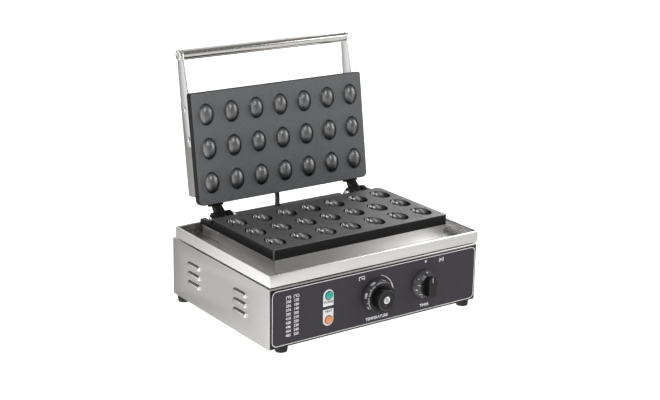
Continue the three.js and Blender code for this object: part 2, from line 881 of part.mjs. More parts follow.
function makeHousing() {
  let housing = cut(
    block(housingLeft, housingRight, housingFront, housingRear, trayFloor, housingTop),
    block(
      housingLeft + housingSheet, housingRight - housingSheet,
      housingFront + housingSheet, housingRear - housingSheet,
      trayFloor + housingSheet, housingTop + overrun,
    ),
  );
  const notchBottom = trayFloor + seamNotchRise;
  const notchFront = housingRear - seamNotchLength;
  for (const side of [-1, 1]) {
    const wall = side < 0 ? housingLeft : housingRight;
    housing = cut(housing, block(
      wall - housingSheet * 2, wall + housingSheet * 2, notchFront, housingRear + overrun,
      notchBottom, notchBottom + seamNotchHeight,
    ));
  }
  const holes = throughHoles(trayFloor - overrun, trayFloor + housingSheet + overrun);
  place(base, 'heater_housing', cut(housing, ...holes), finishes.steel);

  // The rear support is a box open below, with a window under each hinge tongue.
  const windowReach = tongueRadius + hingeSideGap;
  let support = cut(
    block(housingLeft, housingRight, supportFront, ledgeRear, trayFloor, housingTop),
    block(
      housingLeft + housingSheet, housingRight - housingSheet,
      supportFront + housingSheet, ledgeRear - housingSheet,
      trayFloor - overrun, housingTop - housingSheet,
    ),
  );
  for (const side of [-1, 1]) {
    const x = plateOffset + side * hingeSpread;
    const half = tongueWidth / 2 + hingeSideGap;
    support = cut(support, block(
      x - half, x + half, hingeY - windowReach, hingeY + windowReach,
      housingTop - housingSheet - overrun, housingTop + overrun,
    ));
  }
  const tieHoles = tiePlaces.slice(2).map(({ x, y }) => {
    const start = [x, y, housingTop - housingSheet - overrun];
    const run = housingSheet + overrun * 2;
    return bar('z', tieBoltRadius + screwClearance, run, start, smallSides);
  });
  place(base, 'rear_support', cut(support, ...tieHoles), finishes.steel);
}

// A lug with a round end, standing out from the lower plate's rear edge.
function hingeEar(x0, x1) {
  return sideProfile([
    [plateRear - overrun, housingTop],
    [hingeY + earRadius, housingTop],
    ...arcPoints(hingeY, hingeZ, earRadius, 0, quarterTurn),
    [plateRear - overrun, hingeZ + earRadius / 2],
  ], x0, x1);
}

function hingeBore(x, length) {
  const start = [x - length / 2, hingeY, hingeZ];
  return bar('x', hingeBoltRadius + hingeBoreGap, length, start);
}

function makeLowerPlate() {
  const shape = outline(
    plateLeft, plateRight, plateFront, plateRear, plateFrontCorner, plateRearCorner,
  );
  let plate = castSlab(shape, housingTop, lowerPlateTop, plateEdge);
  plate = join(plate, block(
    plateLeft, plateRight, plateRear - plateRearCorner * 2, ledgeRear,
    housingTop, housingTop + ledgeThickness,
  ));
  for (const side of [-1, 1]) {
    const x = plateOffset + side * hingeSpread;
    const half = tongueWidth / 2 + hingeSideGap;
    const outer = x + side * (half + earWidth + hingeHeadLength + hingeSideGap);
    const inner = x - side * (half + earWidth + hingeNutLength + hingeBoltEnd + hingeSideGap);
    plate = cut(plate, block(
      Math.min(outer, inner), Math.max(outer, inner), plateRear + notchMargin,
      ledgeRear + overrun, housingTop - overrun, lowerPlateTop,
    ));
    plate = join(
      plate,
      hingeEar(x - half - earWidth, x - half),
      hingeEar(x + half, x + half + earWidth),
    );
    plate = cut(plate, hingeBore(x, (half + earWidth + overrun) * 2));
  }
  for (const { x, y } of mouldPlaces()) {
    const cavity = ellipsoid(cavityWidth, cavityLength, cavityDepth, x, y, lowerPlateTop);
    plate = cut(plate, cavity);
  }
  for (const { x, y } of tiePlaces) {
    const run = tieBoltDepth + fitGap + overrun;
    const start = [x, y, housingTop - overrun];
    plate = cut(plate, bar('z', tieBoltRadius + screwClearance, run, start, smallSides));
  }
  place(base, 'lower_plate', plate, finishes.castIron);
}

function makeTieBolts() {
  for (const { name, x, y } of tiePlaces) {
    const headBottom = deckUnderside - tieHeadHeight;
    const end = housingTop + tieBoltDepth;
    const bolt = join(
      hexBar('z', tieHeadFlats, tieHeadHeight, [x, y, headBottom]),
      bar('z', tieBoltRadius, end - headBottom, [x, y, headBottom], smallSides),
    );
    place(base, `tie_bolt_${name}`, bolt, finishes.zinc);
  }
}

// A bent heating element: four runs along X, three half-round bends, two pins.
function element(z, pinLength) {
  const inner = elementInnerHalfPitch;
  const outer = elementOuterHalfPitch;
  const left = plateOffset - elementHalfLength;
  const right = plateOffset + elementHalfLength;
  const runs = [-outer, -inner, inner, outer].map((y) => {
    const isEnd = Math.abs(y) === outer;
    const start = isEnd ? pinX : left;
    return bar('x', elementRadius, right - start, [start, plateMiddle + y, z], tubeSides);
  });
  const bends = [
    { from: -outer, to: -inner, side: 1 },
    { from: -inner, to: inner, side: -1 },
    { from: inner, to: outer, side: 1 },
  ].map(({ from, to, side }) => {
    const radius = (to - from) / 2;
    const x = side > 0 ? right : left;
    const y = plateMiddle + (from + to) / 2;
    const ring = new THREE.TorusGeometry(radius, elementRadius, tubeSides, roundSides);
    const reach = radius + elementRadius + overrun;
    const half = side > 0
      ? block(x, x + reach, y - reach, y + reach, z - reach, z + reach)
      : block(x - reach, x, y - reach, y + reach, z - reach, z + reach);
    return solid(ring.translate(x, y, z)).intersect(half);
  });
  const pins = pinYs.map((y) => bar('z', elementRadius, pinLength, [pinX, y, z], tubeSides));
  return join(...runs, ...bends, ...pins);
}

// A closed tube along a smooth curve through the given points.
function tubeAlong(points, radius, sides, steps) {
  const path = new THREE.CatmullRomCurve3(points.map((point) => new THREE.Vector3(...point)));
  const section = new THREE.Shape();
  section.absarc(0, 0, radius, 0, halfTurn * 2);
  const options = {
    steps, bevelEnabled: false, extrudePath: path, curveSegments: sides / 2,
  };
  return solid(new THREE.ExtrudeGeometry(section, options));
}

function makeLowerHeat() {
  const elementZ = housingTop - fitGap - elementRadius;
  const heater = element(elementZ, -lowerPinLength);
  place(base, 'lower_heater', heater, finishes.zinc);

  const clampTop = elementZ - elementRadius - fitGap;
  const clampBottom = clampTop - clampSheet;
  const left = housingLeft + housingSheet + packInset;
  const right = housingRight - housingSheet - packInset;
  const front = housingFront + housingSheet + packInset;
  const rear = housingRear - housingSheet - packInset;
  const clampHoles = throughHoles(clampBottom - overrun, clampTop + overrun);
  const clamp = cut(block(left, right, front, rear, clampBottom, clampTop), ...clampHoles);
  place(base, 'heater_clamp', clamp, finishes.zinc);
  const packBottom = trayFloor + housingSheet;
  const packHoles = throughHoles(packBottom - overrun, clampBottom + overrun);
  const pack = cut(block(left, right, front, rear, packBottom, clampBottom), ...packHoles);
  place(base, 'lower_insulation', pack, finishes.wool);

  // The sensor lies under the middle row; its thin tube runs down to the thermostat.
  const sensorZ = housingTop - fitGap - sensorRadius;
  const sensorStart = plateOffset - sensorLength / 2;
  const caseBack = frontWallBack + thermostatDepth;
  const bulb = bar(
    'x', sensorRadius, sensorLength, [sensorStart, plateMiddle, sensorZ], smallSides,
  );
  const bulbEnd = sensorStart + sensorLength;
  const middleZ = (deckUnderside + controlZ) / 2;
  const route = [
    [bulbEnd - sensorRadius, plateMiddle, sensorZ],
    [bulbEnd + sensorRadius, plateMiddle, sensorZ],
    [sensorHoleX, plateMiddle, clampTop],
    [sensorHoleX, plateMiddle, clampTop - sensorBend],
    [sensorHoleX, plateMiddle, deckUnderside - sensorRadius],
    [sensorHoleX, plateMiddle - sensorBend, middleZ],
    [(sensorHoleX + temperatureX) / 2, (plateMiddle + caseBack) / 2, middleZ],
    [temperatureX, caseBack + sensorBend * 2, controlZ],
    [temperatureX, caseBack + fitGap, controlZ],
  ];
  const tube = tubeAlong(route, sensorTubeRadius, sensorSides, sensorSteps);
  place(base, 'thermostat_sensor', join(bulb, tube), finishes.brightSteel);
}

function makeHingeBolts() {
  const half = tongueWidth / 2 + hingeSideGap + earWidth;
  for (const [name, side] of [['left', -1], ['right', 1]]) {
    const x = plateOffset + side * hingeSpread;
    const outer = x + side * half;
    const inner = x - side * half;
    const shankEnd = inner - side * (hingeNutLength + hingeBoltEnd);
    const head = new THREE.CylinderGeometry(
      hingeHeadRadius * 0.75, hingeHeadRadius, hingeHeadLength, roundSides,
    );
    head.rotateZ(-side * quarterTurn);
    head.translate(outer + side * hingeHeadLength / 2, hingeY, hingeZ);
    const root = outer + side * hingeHeadLength / 2;
    const shank = bar('x', hingeBoltRadius, shankEnd - root, [root, hingeY, hingeZ]);
    place(base, `hinge_bolt_${name}`, join(solid(head), shank), finishes.castIron);
    const nut = cut(
      hexBar('x', hingeNutFlats, -side * hingeNutLength, [inner, hingeY, hingeZ]),
      bar(
        'x', hingeBoltRadius + hingeBoreGap, -side * (hingeNutLength + overrun * 2),
        [inner + side * overrun, hingeY, hingeZ],
      ),
    );
    place(base, `hinge_nut_${name}`, nut, finishes.brightSteel);
  }
}

function makeUpperPlate() {
  const shape = outline(
    plateLeft, plateRight, plateFront, plateRear, plateFrontCorner, plateRearCorner,
  );
  let plate = castSlab(shape, upperFace, upperBack, plateEdge);
  for (const { x, y } of mouldPlaces()) {
    const dome = ellipsoid(domeWidth, domeLength, domeHeight, x, y, upperFace);
    const below = block(
      x - domeWidth, x + domeWidth, y - domeLength, y + domeLength,
      upperFace - domeHeight * 2, upperFace + plateEdge,
    );
    plate = join(plate, dome.intersect(below));
  }
  for (const side of [-1, 1]) {
    const x = plateOffset + side * hingeSpread;
    const root = plateRear - tongueOverlap;
    const foot = new THREE.Vector2(root - hingeY, upperFace + tongueTop - hingeZ);
    const heel = new THREE.Vector2(root - hingeY, upperBack - hingeZ);
    // The tongue's edges leave the round knuckle along its two tangents.
    const lower = foot.angle() + Math.acos(tongueRadius / foot.length());
    const upper = heel.angle() - Math.acos(tongueRadius / heel.length());
    const tongue = sideProfile([
      [root, upperBack],
      [root, upperFace + tongueTop],
      ...arcPoints(hingeY, hingeZ, tongueRadius, lower, upper + halfTurn * 2, roundSides),
    ], x - tongueWidth / 2, x + tongueWidth / 2);
    plate = cut(join(plate, tongue), hingeBore(x, tongueWidth + overrun * 2));
  }
  // Two ribs on the back, inside the cover, take the arm screws.
  const ribFront = plateFront + sideRibFront;
  for (const side of [-1, 1]) {
    const wall = plateOffset + side * (plateWidth / 2 - coverInset - coverSheet - fitGap);
    const inner = wall - side * sideRibThickness;
    plate = join(plate, block(
      Math.min(wall, inner), Math.max(wall, inner), ribFront, ribFront + sideRibLength,
      upperBack - plateEdge, upperBack + sideRibHeight,
    ));
  }
  place(lidPieces, 'upper_plate', cut(plate, ...armScrewShafts(screwClearance)), finishes.castIron);
}

const armScrewPlaces = [
  { name: 'front', y: plateFront + armScrewFrontSetback, z: upperFace + armScrewFrontRise },
  { name: 'rear', y: plateFront + armScrewRearSetback, z: upperFace + armScrewRearRise },
];

// The arm screws' shanks, widened by a clearance where they make a hole.
function armScrewShafts(clearance) {
  const shafts = [];
  for (const side of [-1, 1]) {
    const face = plateOffset + side * (plateWidth / 2 - coverInset + fitGap + armThickness);
    for (const { y, z } of armScrewPlaces) {
      const length = armThickness + fitGap * 2 + coverSheet + armScrewDepth + clearance;
      shafts.push(bar('x', armScrewRadius + clearance, -side * length, [face, y, z], smallSides));
    }
  }
  return shafts;
}

function makeCover() {
  const shell = slab(
    outline(coverLeft, coverRight, coverFront, coverRear, coverCorner, coverCorner),
    coverBottom, coverTop,
  );
  const hollow = block(
    coverLeft + coverSheet, coverRight - coverSheet,
    coverFront + coverSheet, coverRear - coverSheet,
    coverBottom - overrun, coverTop - coverSheet,
  );
  const start = [plateOffset, coverRear - coverSheet - overrun, leadEntryZ];
  const entry = bar('y', leadShankRadius + fitGap, coverSheet + overrun * 2, start);
  const cover = cut(shell, hollow, entry, ...armScrewShafts(screwClearance));
  place(lidPieces, 'lid_cover', cover, finishes.steel);
}

function makeUpperHeat() {
  const elementZ = upperBack + fitGap + elementRadius;
  place(lidPieces, 'upper_heater', element(elementZ, upperPinLength), finishes.zinc);
  const packBottom = elementZ + elementRadius + fitGap;
  const pack = block(
    coverLeft + lidPackSideInset, coverRight - lidPackSideInset,
    coverFront + coverSheet + packInset, coverRear - coverSheet - packInset * 2,
    packBottom, packBottom + lidPackHeight,
  );
  place(lidPieces, 'lid_insulation', pack, finishes.wool);
}

const handleY = plateFront - handleForward;
const handleZ = upperFace + handleRise;

function makeArmsAndHandle() {
  const waistY = plateFront + armWaistSetback;
  const endY = plateFront + armEndSetback;
  const waistTop = [waistY, upperFace + armWaistUpper];
  const waistBottom = [waistY, upperFace + armWaistLower];
  // Tangents from the round head to the waist's two corners.
  const toTop = new THREE.Vector2(waistTop[0] - handleY, waistTop[1] - handleZ);
  const toBottom = new THREE.Vector2(waistBottom[0] - handleY, waistBottom[1] - handleZ);
  const upper = toTop.angle() + Math.acos(armHeadRadius / toTop.length());
  const lower = toBottom.angle() - Math.acos(armHeadRadius / toBottom.length());
  const profile = [
    ...arcPoints(handleY, handleZ, armHeadRadius, upper, lower),
    waistBottom,
    [endY, upperFace + armEndLower],
    [endY, upperFace + armEndUpper],
    waistTop,
  ];
  const shafts = armScrewShafts(screwClearance);
  const innerReach = plateWidth / 2 - coverInset + fitGap;
  for (const [name, side] of [['left', -1], ['right', 1]]) {
    const inner = plateOffset + side * innerReach;
    const outer = inner + side * armThickness;
    const eye = bar(
      'x', handleScrewRadius + screwClearance, -side * (armThickness + overrun * 2),
      [outer + side * overrun, handleY, handleZ], smallSides,
    );
    const arm = sideProfile(profile, Math.min(inner, outer), Math.max(inner, outer));
    place(lidPieces, `arm_${name}`, cut(arm, eye, ...shafts), finishes.steel);

    const head = outer + side * fitGap;
    for (const { name: end, y, z } of armScrewPlaces) {
      const start = [head, y, z];
      const length = armThickness + fitGap * 3 + coverSheet + armScrewDepth;
      const screw = join(
        bar('x', armScrewHeadRadius, side * armScrewHeadHeight, start, smallSides),
        bar('x', armScrewRadius, -side * length, start, smallSides),
      );
      place(lidPieces, `arm_screw_${name}_${end}`, screw, finishes.zinc);
    }
    const capStart = [head, handleY, handleZ];
    const reach = armThickness + fitGap * 2 + handleScrewDepth;
    const cap = join(
      bar('x', handleRadius, side * handleCapThickness, capStart),
      bar('x', handleScrewRadius, -side * reach, capStart, smallSides),
    );
    place(lidPieces, `handle_screw_${name}`, cap, finishes.brightSteel);
  }

  const reach = innerReach - fitGap;
  let handle = bar('x', handleRadius, reach * 2, [plateOffset - reach, handleY, handleZ]);
  for (const side of [-1, 1]) {
    const start = [plateOffset + side * (reach + overrun), handleY, handleZ];
    const run = handleScrewDepth + fitGap + overrun;
    handle = cut(
      handle, bar('x', handleScrewRadius + screwClearance, -side * run, start, smallSides),
    );
  }
  place(lidPieces, 'handle_bar', handle, finishes.brightSteel);
}

// A gland through a wall that faces +Y: nut and collar outside, shank inside, open bore.
function leadGland(wallFace, z) {
  const start = [plateOffset, wallFace, z];
  const end = [plateOffset, wallFace + leadNutLength + leadCollarLength + overrun, z];
  const run = leadNutLength + leadCollarLength + leadShankLength + overrun * 2;
  return cut(
    join(
      hexBar('y', leadNutFlats, leadNutLength, start),
      bar('y', leadCollarRadius, leadNutLength + leadCollarLength, start),
      bar('y', leadShankRadius, -leadShankLength, start),
      bar('y', leadShankRadius, leadNutLength / 2, start),
    ),
    bar('y', leadRadius - fitGap, -run, end, smallSides),
  );
}

// Where a point of the closed lid lies once the lid is turned open.
function opened(y, z) {
  const across = y - hingeY;
  const up = z - hingeZ;
  const cos = Math.cos(lidOpenAngle);
  const sin = Math.sin(lidOpenAngle);
  return { y: hingeY + across * cos + up * sin, z: hingeZ - across * sin + up * cos };
}

function makeLead() {
  place(base, 'lead_gland_base', leadGland(bodyRear, leadHeight), finishes.zinc);
  const lidWall = coverRear + fitGap;
  place(lidPieces, 'lead_gland_lid', leadGland(lidWall, leadEntryZ), finishes.zinc);

  const glandReach = leadNutLength + leadCollarLength + fitGap;
  const startY = bodyRear + glandReach;
  const end = opened(lidWall + glandReach, leadEntryZ);
  const before = opened(lidWall + glandReach + leadCollarLength, leadEntryZ);
  const route = [
    [plateOffset, startY, leadHeight],
    ...leadRouteShares.map(([out, up]) => [
      plateOffset, startY + up * (before.y - startY) + out * leadReach,
      leadHeight + up * (end.z - leadHeight),
    ]),
    [plateOffset, before.y, before.z],
    [plateOffset, end.y, end.z],
  ];
  place(base, 'lid_lead', tubeAlong(route, leadRadius, leadSides, leadSteps), finishes.rubber);
}

function makeInlet() {
  const z = bodyBottom + glandHeight;
  const gland = cut(
    join(
      bar('y', glandFlangeRadius, glandFlangeLength, [glandFromMiddle, bodyRear, z]),
      bar('y', glandRadius, glandFlangeLength - glandLength, [glandFromMiddle, bodyRear, z]),
      bar('y', glandRadius - fitGap * 2, glandFlangeLength * 2, [glandFromMiddle, bodyRear, z]),
    ),
    bar(
      'y', glandBoreRadius, glandLength + glandFlangeLength * 2 + overrun * 2,
      [glandFromMiddle, bodyRear - glandLength - overrun, z],
    ),
  );
  place(base, 'cable_gland', gland, finishes.blackPlastic);

  const rear = bodyRear - blockFromRear;
  const bottom = bodyBottom + bottomSheet;
  let terminals = block(
    blockFromMiddle - blockWidth / 2, blockFromMiddle + blockWidth / 2,
    rear - blockDepth, rear, bottom, bottom + blockHeight,
  );
  for (let i = 0; i < blockPoles; i += 1) {
    const x = blockFromMiddle + (i - (blockPoles - 1) / 2) * (blockWidth / blockPoles);
    for (const share of [0.25, 0.75]) {
      const start = [x, rear - blockDepth * share, bottom + blockHeight - poleDepth];
      terminals = cut(terminals, bar('z', poleRadius, poleDepth + overrun, start, smallSides));
    }
  }
  place(base, 'terminal_block', terminals, finishes.ceramic);
}

makeBaseShell();
makeBottomAndFeet();
makeFascia();
makeLamps();
makeControlCase('thermostat', temperatureX, thermostatWidth, thermostatHeight, thermostatDepth);
makeControlCase('timer', timerX, timerSize, timerSize, timerDepth);
makeShaft('temperature', temperatureX);
makeShaft('timer', timerX);
makeTemperatureKnob();
makeTimerKnob();
makeTray();
makeHousing();
makeLowerPlate();
makeTieBolts();
makeLowerHeat();
makeHingeBolts();
makeUpperPlate();
makeCover();
makeUpperHeat();
makeArmsAndHandle();
makeLead();
makeInlet();

// The lid turns about its hinge bolts and stands open.
lidPieces.position.set(0, -hingeY, -hingeZ);
lid.position.set(0, hingeY, hingeZ);
lid.rotation.x = -lidOpenAngle;

// The origin is on the floor under the middle of the machine's bounding box.
const bounds = new THREE.Box3().setFromObject(machine, true);
machine.position.x = -(bounds.min.x + bounds.max.x) / 2;
machine.position.y = -(bounds.min.y + bounds.max.y) / 2;
machine.position.z = -bounds.min.z;
machine.updateMatrixWorld(true);

export default machine;
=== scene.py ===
import math

import bmesh
import bpy
from mathutils import Matrix, Vector, noise


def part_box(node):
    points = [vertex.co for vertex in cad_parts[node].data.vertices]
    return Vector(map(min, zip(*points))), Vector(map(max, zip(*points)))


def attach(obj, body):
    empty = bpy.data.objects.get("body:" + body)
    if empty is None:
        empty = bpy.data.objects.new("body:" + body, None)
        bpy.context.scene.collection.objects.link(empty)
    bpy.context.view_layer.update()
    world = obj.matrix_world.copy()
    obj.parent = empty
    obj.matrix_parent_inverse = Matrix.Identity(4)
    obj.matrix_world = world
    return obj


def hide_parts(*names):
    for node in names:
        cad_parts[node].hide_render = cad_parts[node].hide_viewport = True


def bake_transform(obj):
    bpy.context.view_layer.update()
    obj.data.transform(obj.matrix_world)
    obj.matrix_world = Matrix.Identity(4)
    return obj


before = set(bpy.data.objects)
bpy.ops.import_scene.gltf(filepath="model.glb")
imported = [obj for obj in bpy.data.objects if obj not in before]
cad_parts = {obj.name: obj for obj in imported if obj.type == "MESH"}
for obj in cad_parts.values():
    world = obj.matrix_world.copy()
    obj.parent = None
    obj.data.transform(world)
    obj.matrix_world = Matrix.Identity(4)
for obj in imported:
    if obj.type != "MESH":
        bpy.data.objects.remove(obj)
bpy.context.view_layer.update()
print("frame loaded:", len(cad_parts), "nodes")

# Pieces are drawn in millimetres: x from the body's middle, y back from the body's front,
# z up from the floor. Lid pieces are drawn closed and turned open at the end.
mm = 0.001
layout = {
    "bottomInset": 1.5,     # the bottom sheet lies this far inside the body's front
    "plateMiddleX": 7,      # heated parts and lid sit this far right
    "plateMiddleY": 139,
    "columns": 7, "rows": 3, "columnPitch": 47.4, "rowPitch": 55.5,
    "hingeY": 252.6, "hingeZ": 138.5, "openAngle": 98.6,
}
centreX = layout["plateMiddleX"]
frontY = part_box("bottom_plate")[0][1] - layout["bottomInset"] * mm
toFrame = Matrix.Translation((0, frontY, 0)) @ Matrix.Scale(mm, 4)
hingePoint = Vector((0, layout["hingeY"], layout["hingeZ"]))
openLid = (Matrix.Translation(hingePoint)
           @ Matrix.Rotation(-math.radians(layout["openAngle"]), 4, "X")
           @ Matrix.Translation(-hingePoint))


def moulds():
    for row in range(layout["rows"]):
        for column in range(layout["columns"]):
            x = centreX + (column - (layout["columns"] - 1) / 2) * layout["columnPitch"]
            y = layout["plateMiddleY"] + (row - (layout["rows"] - 1) / 2) * layout["rowPitch"]
            yield x, y


# ---- camera, floor and light

cameraValues = {
    "place": (-1264.37, -1644.72, 851.49),
    "azimuth": -35.457, "elevation": 17.131, "roll": 1.016,
    "lens": 77.92, "sensor": 36, "clipEnd": 50,
}
studio = {
    "floorColor": (0.93, 0.93, 0.925), "floorSize": 9.0, "floorGlow": 0.88,
    "sweepRadius": 8.8, "sweepHeight": 12.0,
    "sweepSides": 96, "worldColor": (1.0, 0.995, 0.985), "baseGlow": 0.12, "aimHeight": 0.2,
    "walls": {  # towards, where its glow starts and is full, how bright
        "backRight": ((0.65, 0.72, 0.25), 0.45, 0.95, 0.72),
        "lowFront": ((0.40, -0.75, -0.53), 0.6, 0.95, 0.66),
        "lowLeft": ((-0.75, -0.10, -0.65), 0.0, 1.0, 1.35),
        "backLeft": ((-0.60, 0.75, 0.30), 0.93, 0.99, 1.5),
        "ceiling": ((0.0, 0.0, 1.0), 0.6, 1.0, 0.15),
    },
    "softboxes": {  # direction from the object, distance, width, height, lean, power
        "key": ((0.77, -0.50, 0.36), 2.2, 0.9, 1.3, 0, 17),
        "topFront": ((-0.29, -0.62, 0.73), 2.2, 0.8, 0.8, 0, 12),
        "rim": ((0.70, 0.50, 0.50), 2.2, 0.5, 1.0, 0, 10),
        "strip": ((-0.89, -0.05, 0.42), 2.2, 0.15, 1.9, 53, 5),
    },
}


def makeCamera():
    v = cameraValues
    azimuth, elevation, roll = (math.radians(v[k]) for k in ("azimuth", "elevation", "roll"))
    back = Vector((math.sin(azimuth) * math.cos(elevation),
                   -math.cos(azimuth) * math.cos(elevation), math.sin(elevation)))
    right = Vector((math.cos(azimuth), math.sin(azimuth), 0))
    turn = Matrix((right, back.cross(right), back)).transposed() @ Matrix.Rotation(roll, 3, "Z")
    data = bpy.data.cameras.new("camera")
    data.lens = v["lens"]
    data.sensor_width = v["sensor"]
    data.clip_end = v["clipEnd"]
    camera = linkObject("camera", data)
    camera.matrix_world = Matrix.Translation(toFrame @ Vector(v["place"])) @ turn.to_4x4()
    bpy.context.scene.camera = camera


def wallGlow(tree, direction, wall):
    # brightness that rises towards one side of the studio
    towards, start, end, high = wall
    facing = addNode(tree, "ShaderNodeVectorMath")
    facing.operation = "DOT_PRODUCT"
    facing.inputs[1].default_value = Vector(towards).normalized()
    tree.links.new(direction, facing.inputs[0])
    ramp = addNode(tree, "ShaderNodeMapRange", From_Min=start, From_Max=end, To_Min=0, To_Max=high)
    ramp.interpolation_type = "SMOOTHSTEP"
    tree.links.new(facing.outputs["Value"], ramp.inputs["Value"])
    return ramp.outputs["Result"]


def addBackground(name, bm, material):
    # seen by the camera only, so that it stays white and lights nothing
    item = linkMesh(name, bm)
    item.data.materials.append(material)
    item.visible_diffuse = False
    item.visible_glossy = False
    item.visible_transmission = False


def makeStudio():
    world = bpy.data.worlds.new("studio")
    bpy.context.scene.world = world
    world.use_nodes = True
    tree = world.node_tree
    background = tree.nodes["Background"]
    background.inputs["Color"].default_value = (*studio["worldColor"], 1)
    direction = addNode(tree, "ShaderNodeTexCoord").outputs["Generated"]
    glow = addNode(tree, "ShaderNodeValue").outputs[0]
    glow.default_value = studio["baseGlow"]
    for wall in studio["walls"].values():
        glow = combine(tree, "ADD", glow, wallGlow(tree, direction, wall))
    tree.links.new(glow, background.inputs["Strength"])

    pale = floorMaterial()
    bm = bmesh.new()
    bmesh.ops.create_grid(bm, x_segments=1, y_segments=1, size=studio["floorSize"])
    addBackground("floor", bm, pale)
    bm = bmesh.new()
    radius, height = studio["sweepRadius"], studio["sweepHeight"]
    bmesh.ops.create_cone(bm, segments=studio["sweepSides"], cap_ends=False, radius1=radius,
                          radius2=radius, depth=height)
    bmesh.ops.translate(bm, vec=(0, 0, height / 2), verts=bm.verts[:])
    addBackground("sweep", bm, pale)

    for name, (towards, distance, width, height, lean, power) in studio["softboxes"].items():
        data = bpy.data.lights.new(name, "AREA")
        data.shape = "RECTANGLE"
        data.size, data.size_y = width, height
        data.energy = power
        box = linkObject(name, data)
        box.visible_camera = False
        out = Vector(towards).normalized()
        box.location = out * distance + Vector((0, 0, studio["aimHeight"]))
        lean = Matrix.Rotation(math.radians(lean), 3, "Z")
        box.rotation_euler = (out.to_track_quat("Z", "Y").to_matrix() @ lean).to_euler()


# ---- materials

def fillInputs(node, inputs):
    # an input's name is given with _ in place of its spaces
    for name, value in inputs.items():
        node.inputs[name.replace("_", " ")].default_value = value


def startMaterial(name, color, roughness, metallic=0.0, **inputs):
    material = bpy.data.materials.new(name)
    material.diffuse_color = (*color, 1)
    material.use_nodes = True
    tree = material.node_tree
    shader = tree.nodes["Principled BSDF"]
    fillInputs(shader, {"Base Color": (*color, 1), "Roughness": roughness, "Metallic": metallic,
                        **inputs})
    return material, tree, shader


def addNode(tree, kind, **inputs):
    node = tree.nodes.new(kind)
    fillInputs(node, inputs)
    return node


def combine(tree, operation, *sources):
    node = addNode(tree, "ShaderNodeMath")
    node.operation = operation
    for source, socket in zip(sources, node.inputs):
        tree.links.new(source, socket)
    return node.outputs[0]


def noisePattern(tree, scale, detail, stretch=(1, 1, 1)):
    coordinates = addNode(tree, "ShaderNodeTexCoord").outputs["Object"]
    mapping = addNode(tree, "ShaderNodeMapping", Scale=stretch)
    pattern = addNode(tree, "ShaderNodeTexNoise", Scale=scale, Detail=detail)
    tree.links.new(coordinates, mapping.inputs["Vector"])
    tree.links.new(mapping.outputs["Vector"], pattern.inputs["Vector"])
    return pattern.outputs["Fac"]


def spread(tree, source, low, high, start=0.0, end=1.0):
    ramp = addNode(tree, "ShaderNodeMapRange", From_Min=start, From_Max=end, To_Min=low,
                   To_Max=high)
    tree.links.new(source, ramp.inputs["Value"])
    return ramp.outputs["Result"]


def tint(tree, source, dark, light):
    mix = tree.nodes.new("ShaderNodeMix")
    mix.data_type = "RGBA"
    mix.inputs["A"].default_value = (*dark, 1)
    mix.inputs["B"].default_value = (*light, 1)
    tree.links.new(source, mix.inputs["Factor"])
    return mix.outputs["Result"]


def feed(shader, socket, source):
    shader.id_data.links.new(source, shader.inputs[socket])


def bumpFrom(tree, shader, source, strength, distance):
    bump = addNode(tree, "ShaderNodeBump", Strength=strength, Distance=distance)
    tree.links.new(source, bump.inputs["Height"])
    feed(shader, "Normal", bump.outputs["Normal"])


def brushedSheet(name, color, roughness, along="Y", contrast=0.05, relief=0.08):
    # fine scratches run along one axis, soft handling marks lie over them
    material, tree, shader = startMaterial(name, color, roughness, 1.0)
    scratches = noisePattern(tree, 1.0, 4.0, [12 if axis == along else 700 for axis in "XYZ"])
    marks = noisePattern(tree, 9.0, 2.0)
    dark, light = ([min(1, c * (1 + side * contrast)) for c in color] for side in (-1, 1))
    feed(shader, "Base Color", tint(tree, scratches, dark, light))
    uneven = combine(tree, "ADD", spread(tree, scratches, -0.06, 0.06),
                     spread(tree, marks, roughness - 0.05, roughness + 0.05))
    feed(shader, "Roughness", uneven)
    bumpFrom(tree, shader, scratches, relief, 0.0002)
    return material


def coatedCasting(name, color, roughness, gloss=0.5, pebble=0.25, pebbleScale=900.0, ior=1.45,
                  edgeGloss=None):
    # a fine pebbled non-stick coating with faint cloudy wear; edgeGloss is the gloss left on
    # faces seen at a slant
    material, tree, shader = startMaterial(name, color, roughness, Specular_IOR_Level=gloss,
                                           IOR=ior)
    grain = noisePattern(tree, pebbleScale, 4.0)
    clouds = noisePattern(tree, 14.0, 3.0)
    mixed = combine(tree, "MULTIPLY", grain, spread(tree, clouds, 1.4, 2.4))
    dark, light = ([c * share for c in color] for share in (0.72, 1.28))
    feed(shader, "Base Color", tint(tree, mixed, dark, light))
    feed(shader, "Roughness", spread(tree, clouds, roughness - 0.06, roughness + 0.06))
    bumpFrom(tree, shader, grain, pebble, 0.0002)
    if edgeGloss is not None:
        slant = addNode(tree, "ShaderNodeLayerWeight", Blend=0.5).outputs["Facing"]
        feed(shader, "Specular IOR Level", spread(tree, slant, gloss, edgeGloss, 0.2, 0.5))
    return material


def mouldedPlastic(name, color, roughness, grain=0.12, gloss=0.5):
    material, tree, shader = startMaterial(name, color, roughness, Specular_IOR_Level=gloss)
    texture = noisePattern(tree, 1400.0, 2.0)
    smudges = noisePattern(tree, 60.0, 2.0)
    light = tuple(min(1, c * 1.25 + 0.002) for c in color)
    feed(shader, "Base Color", tint(tree, smudges, color, light))
    feed(shader, "Roughness", spread(tree, smudges, roughness - 0.05, roughness + 0.05))
    bumpFrom(tree, shader, texture, grain, 0.0001)
    return material


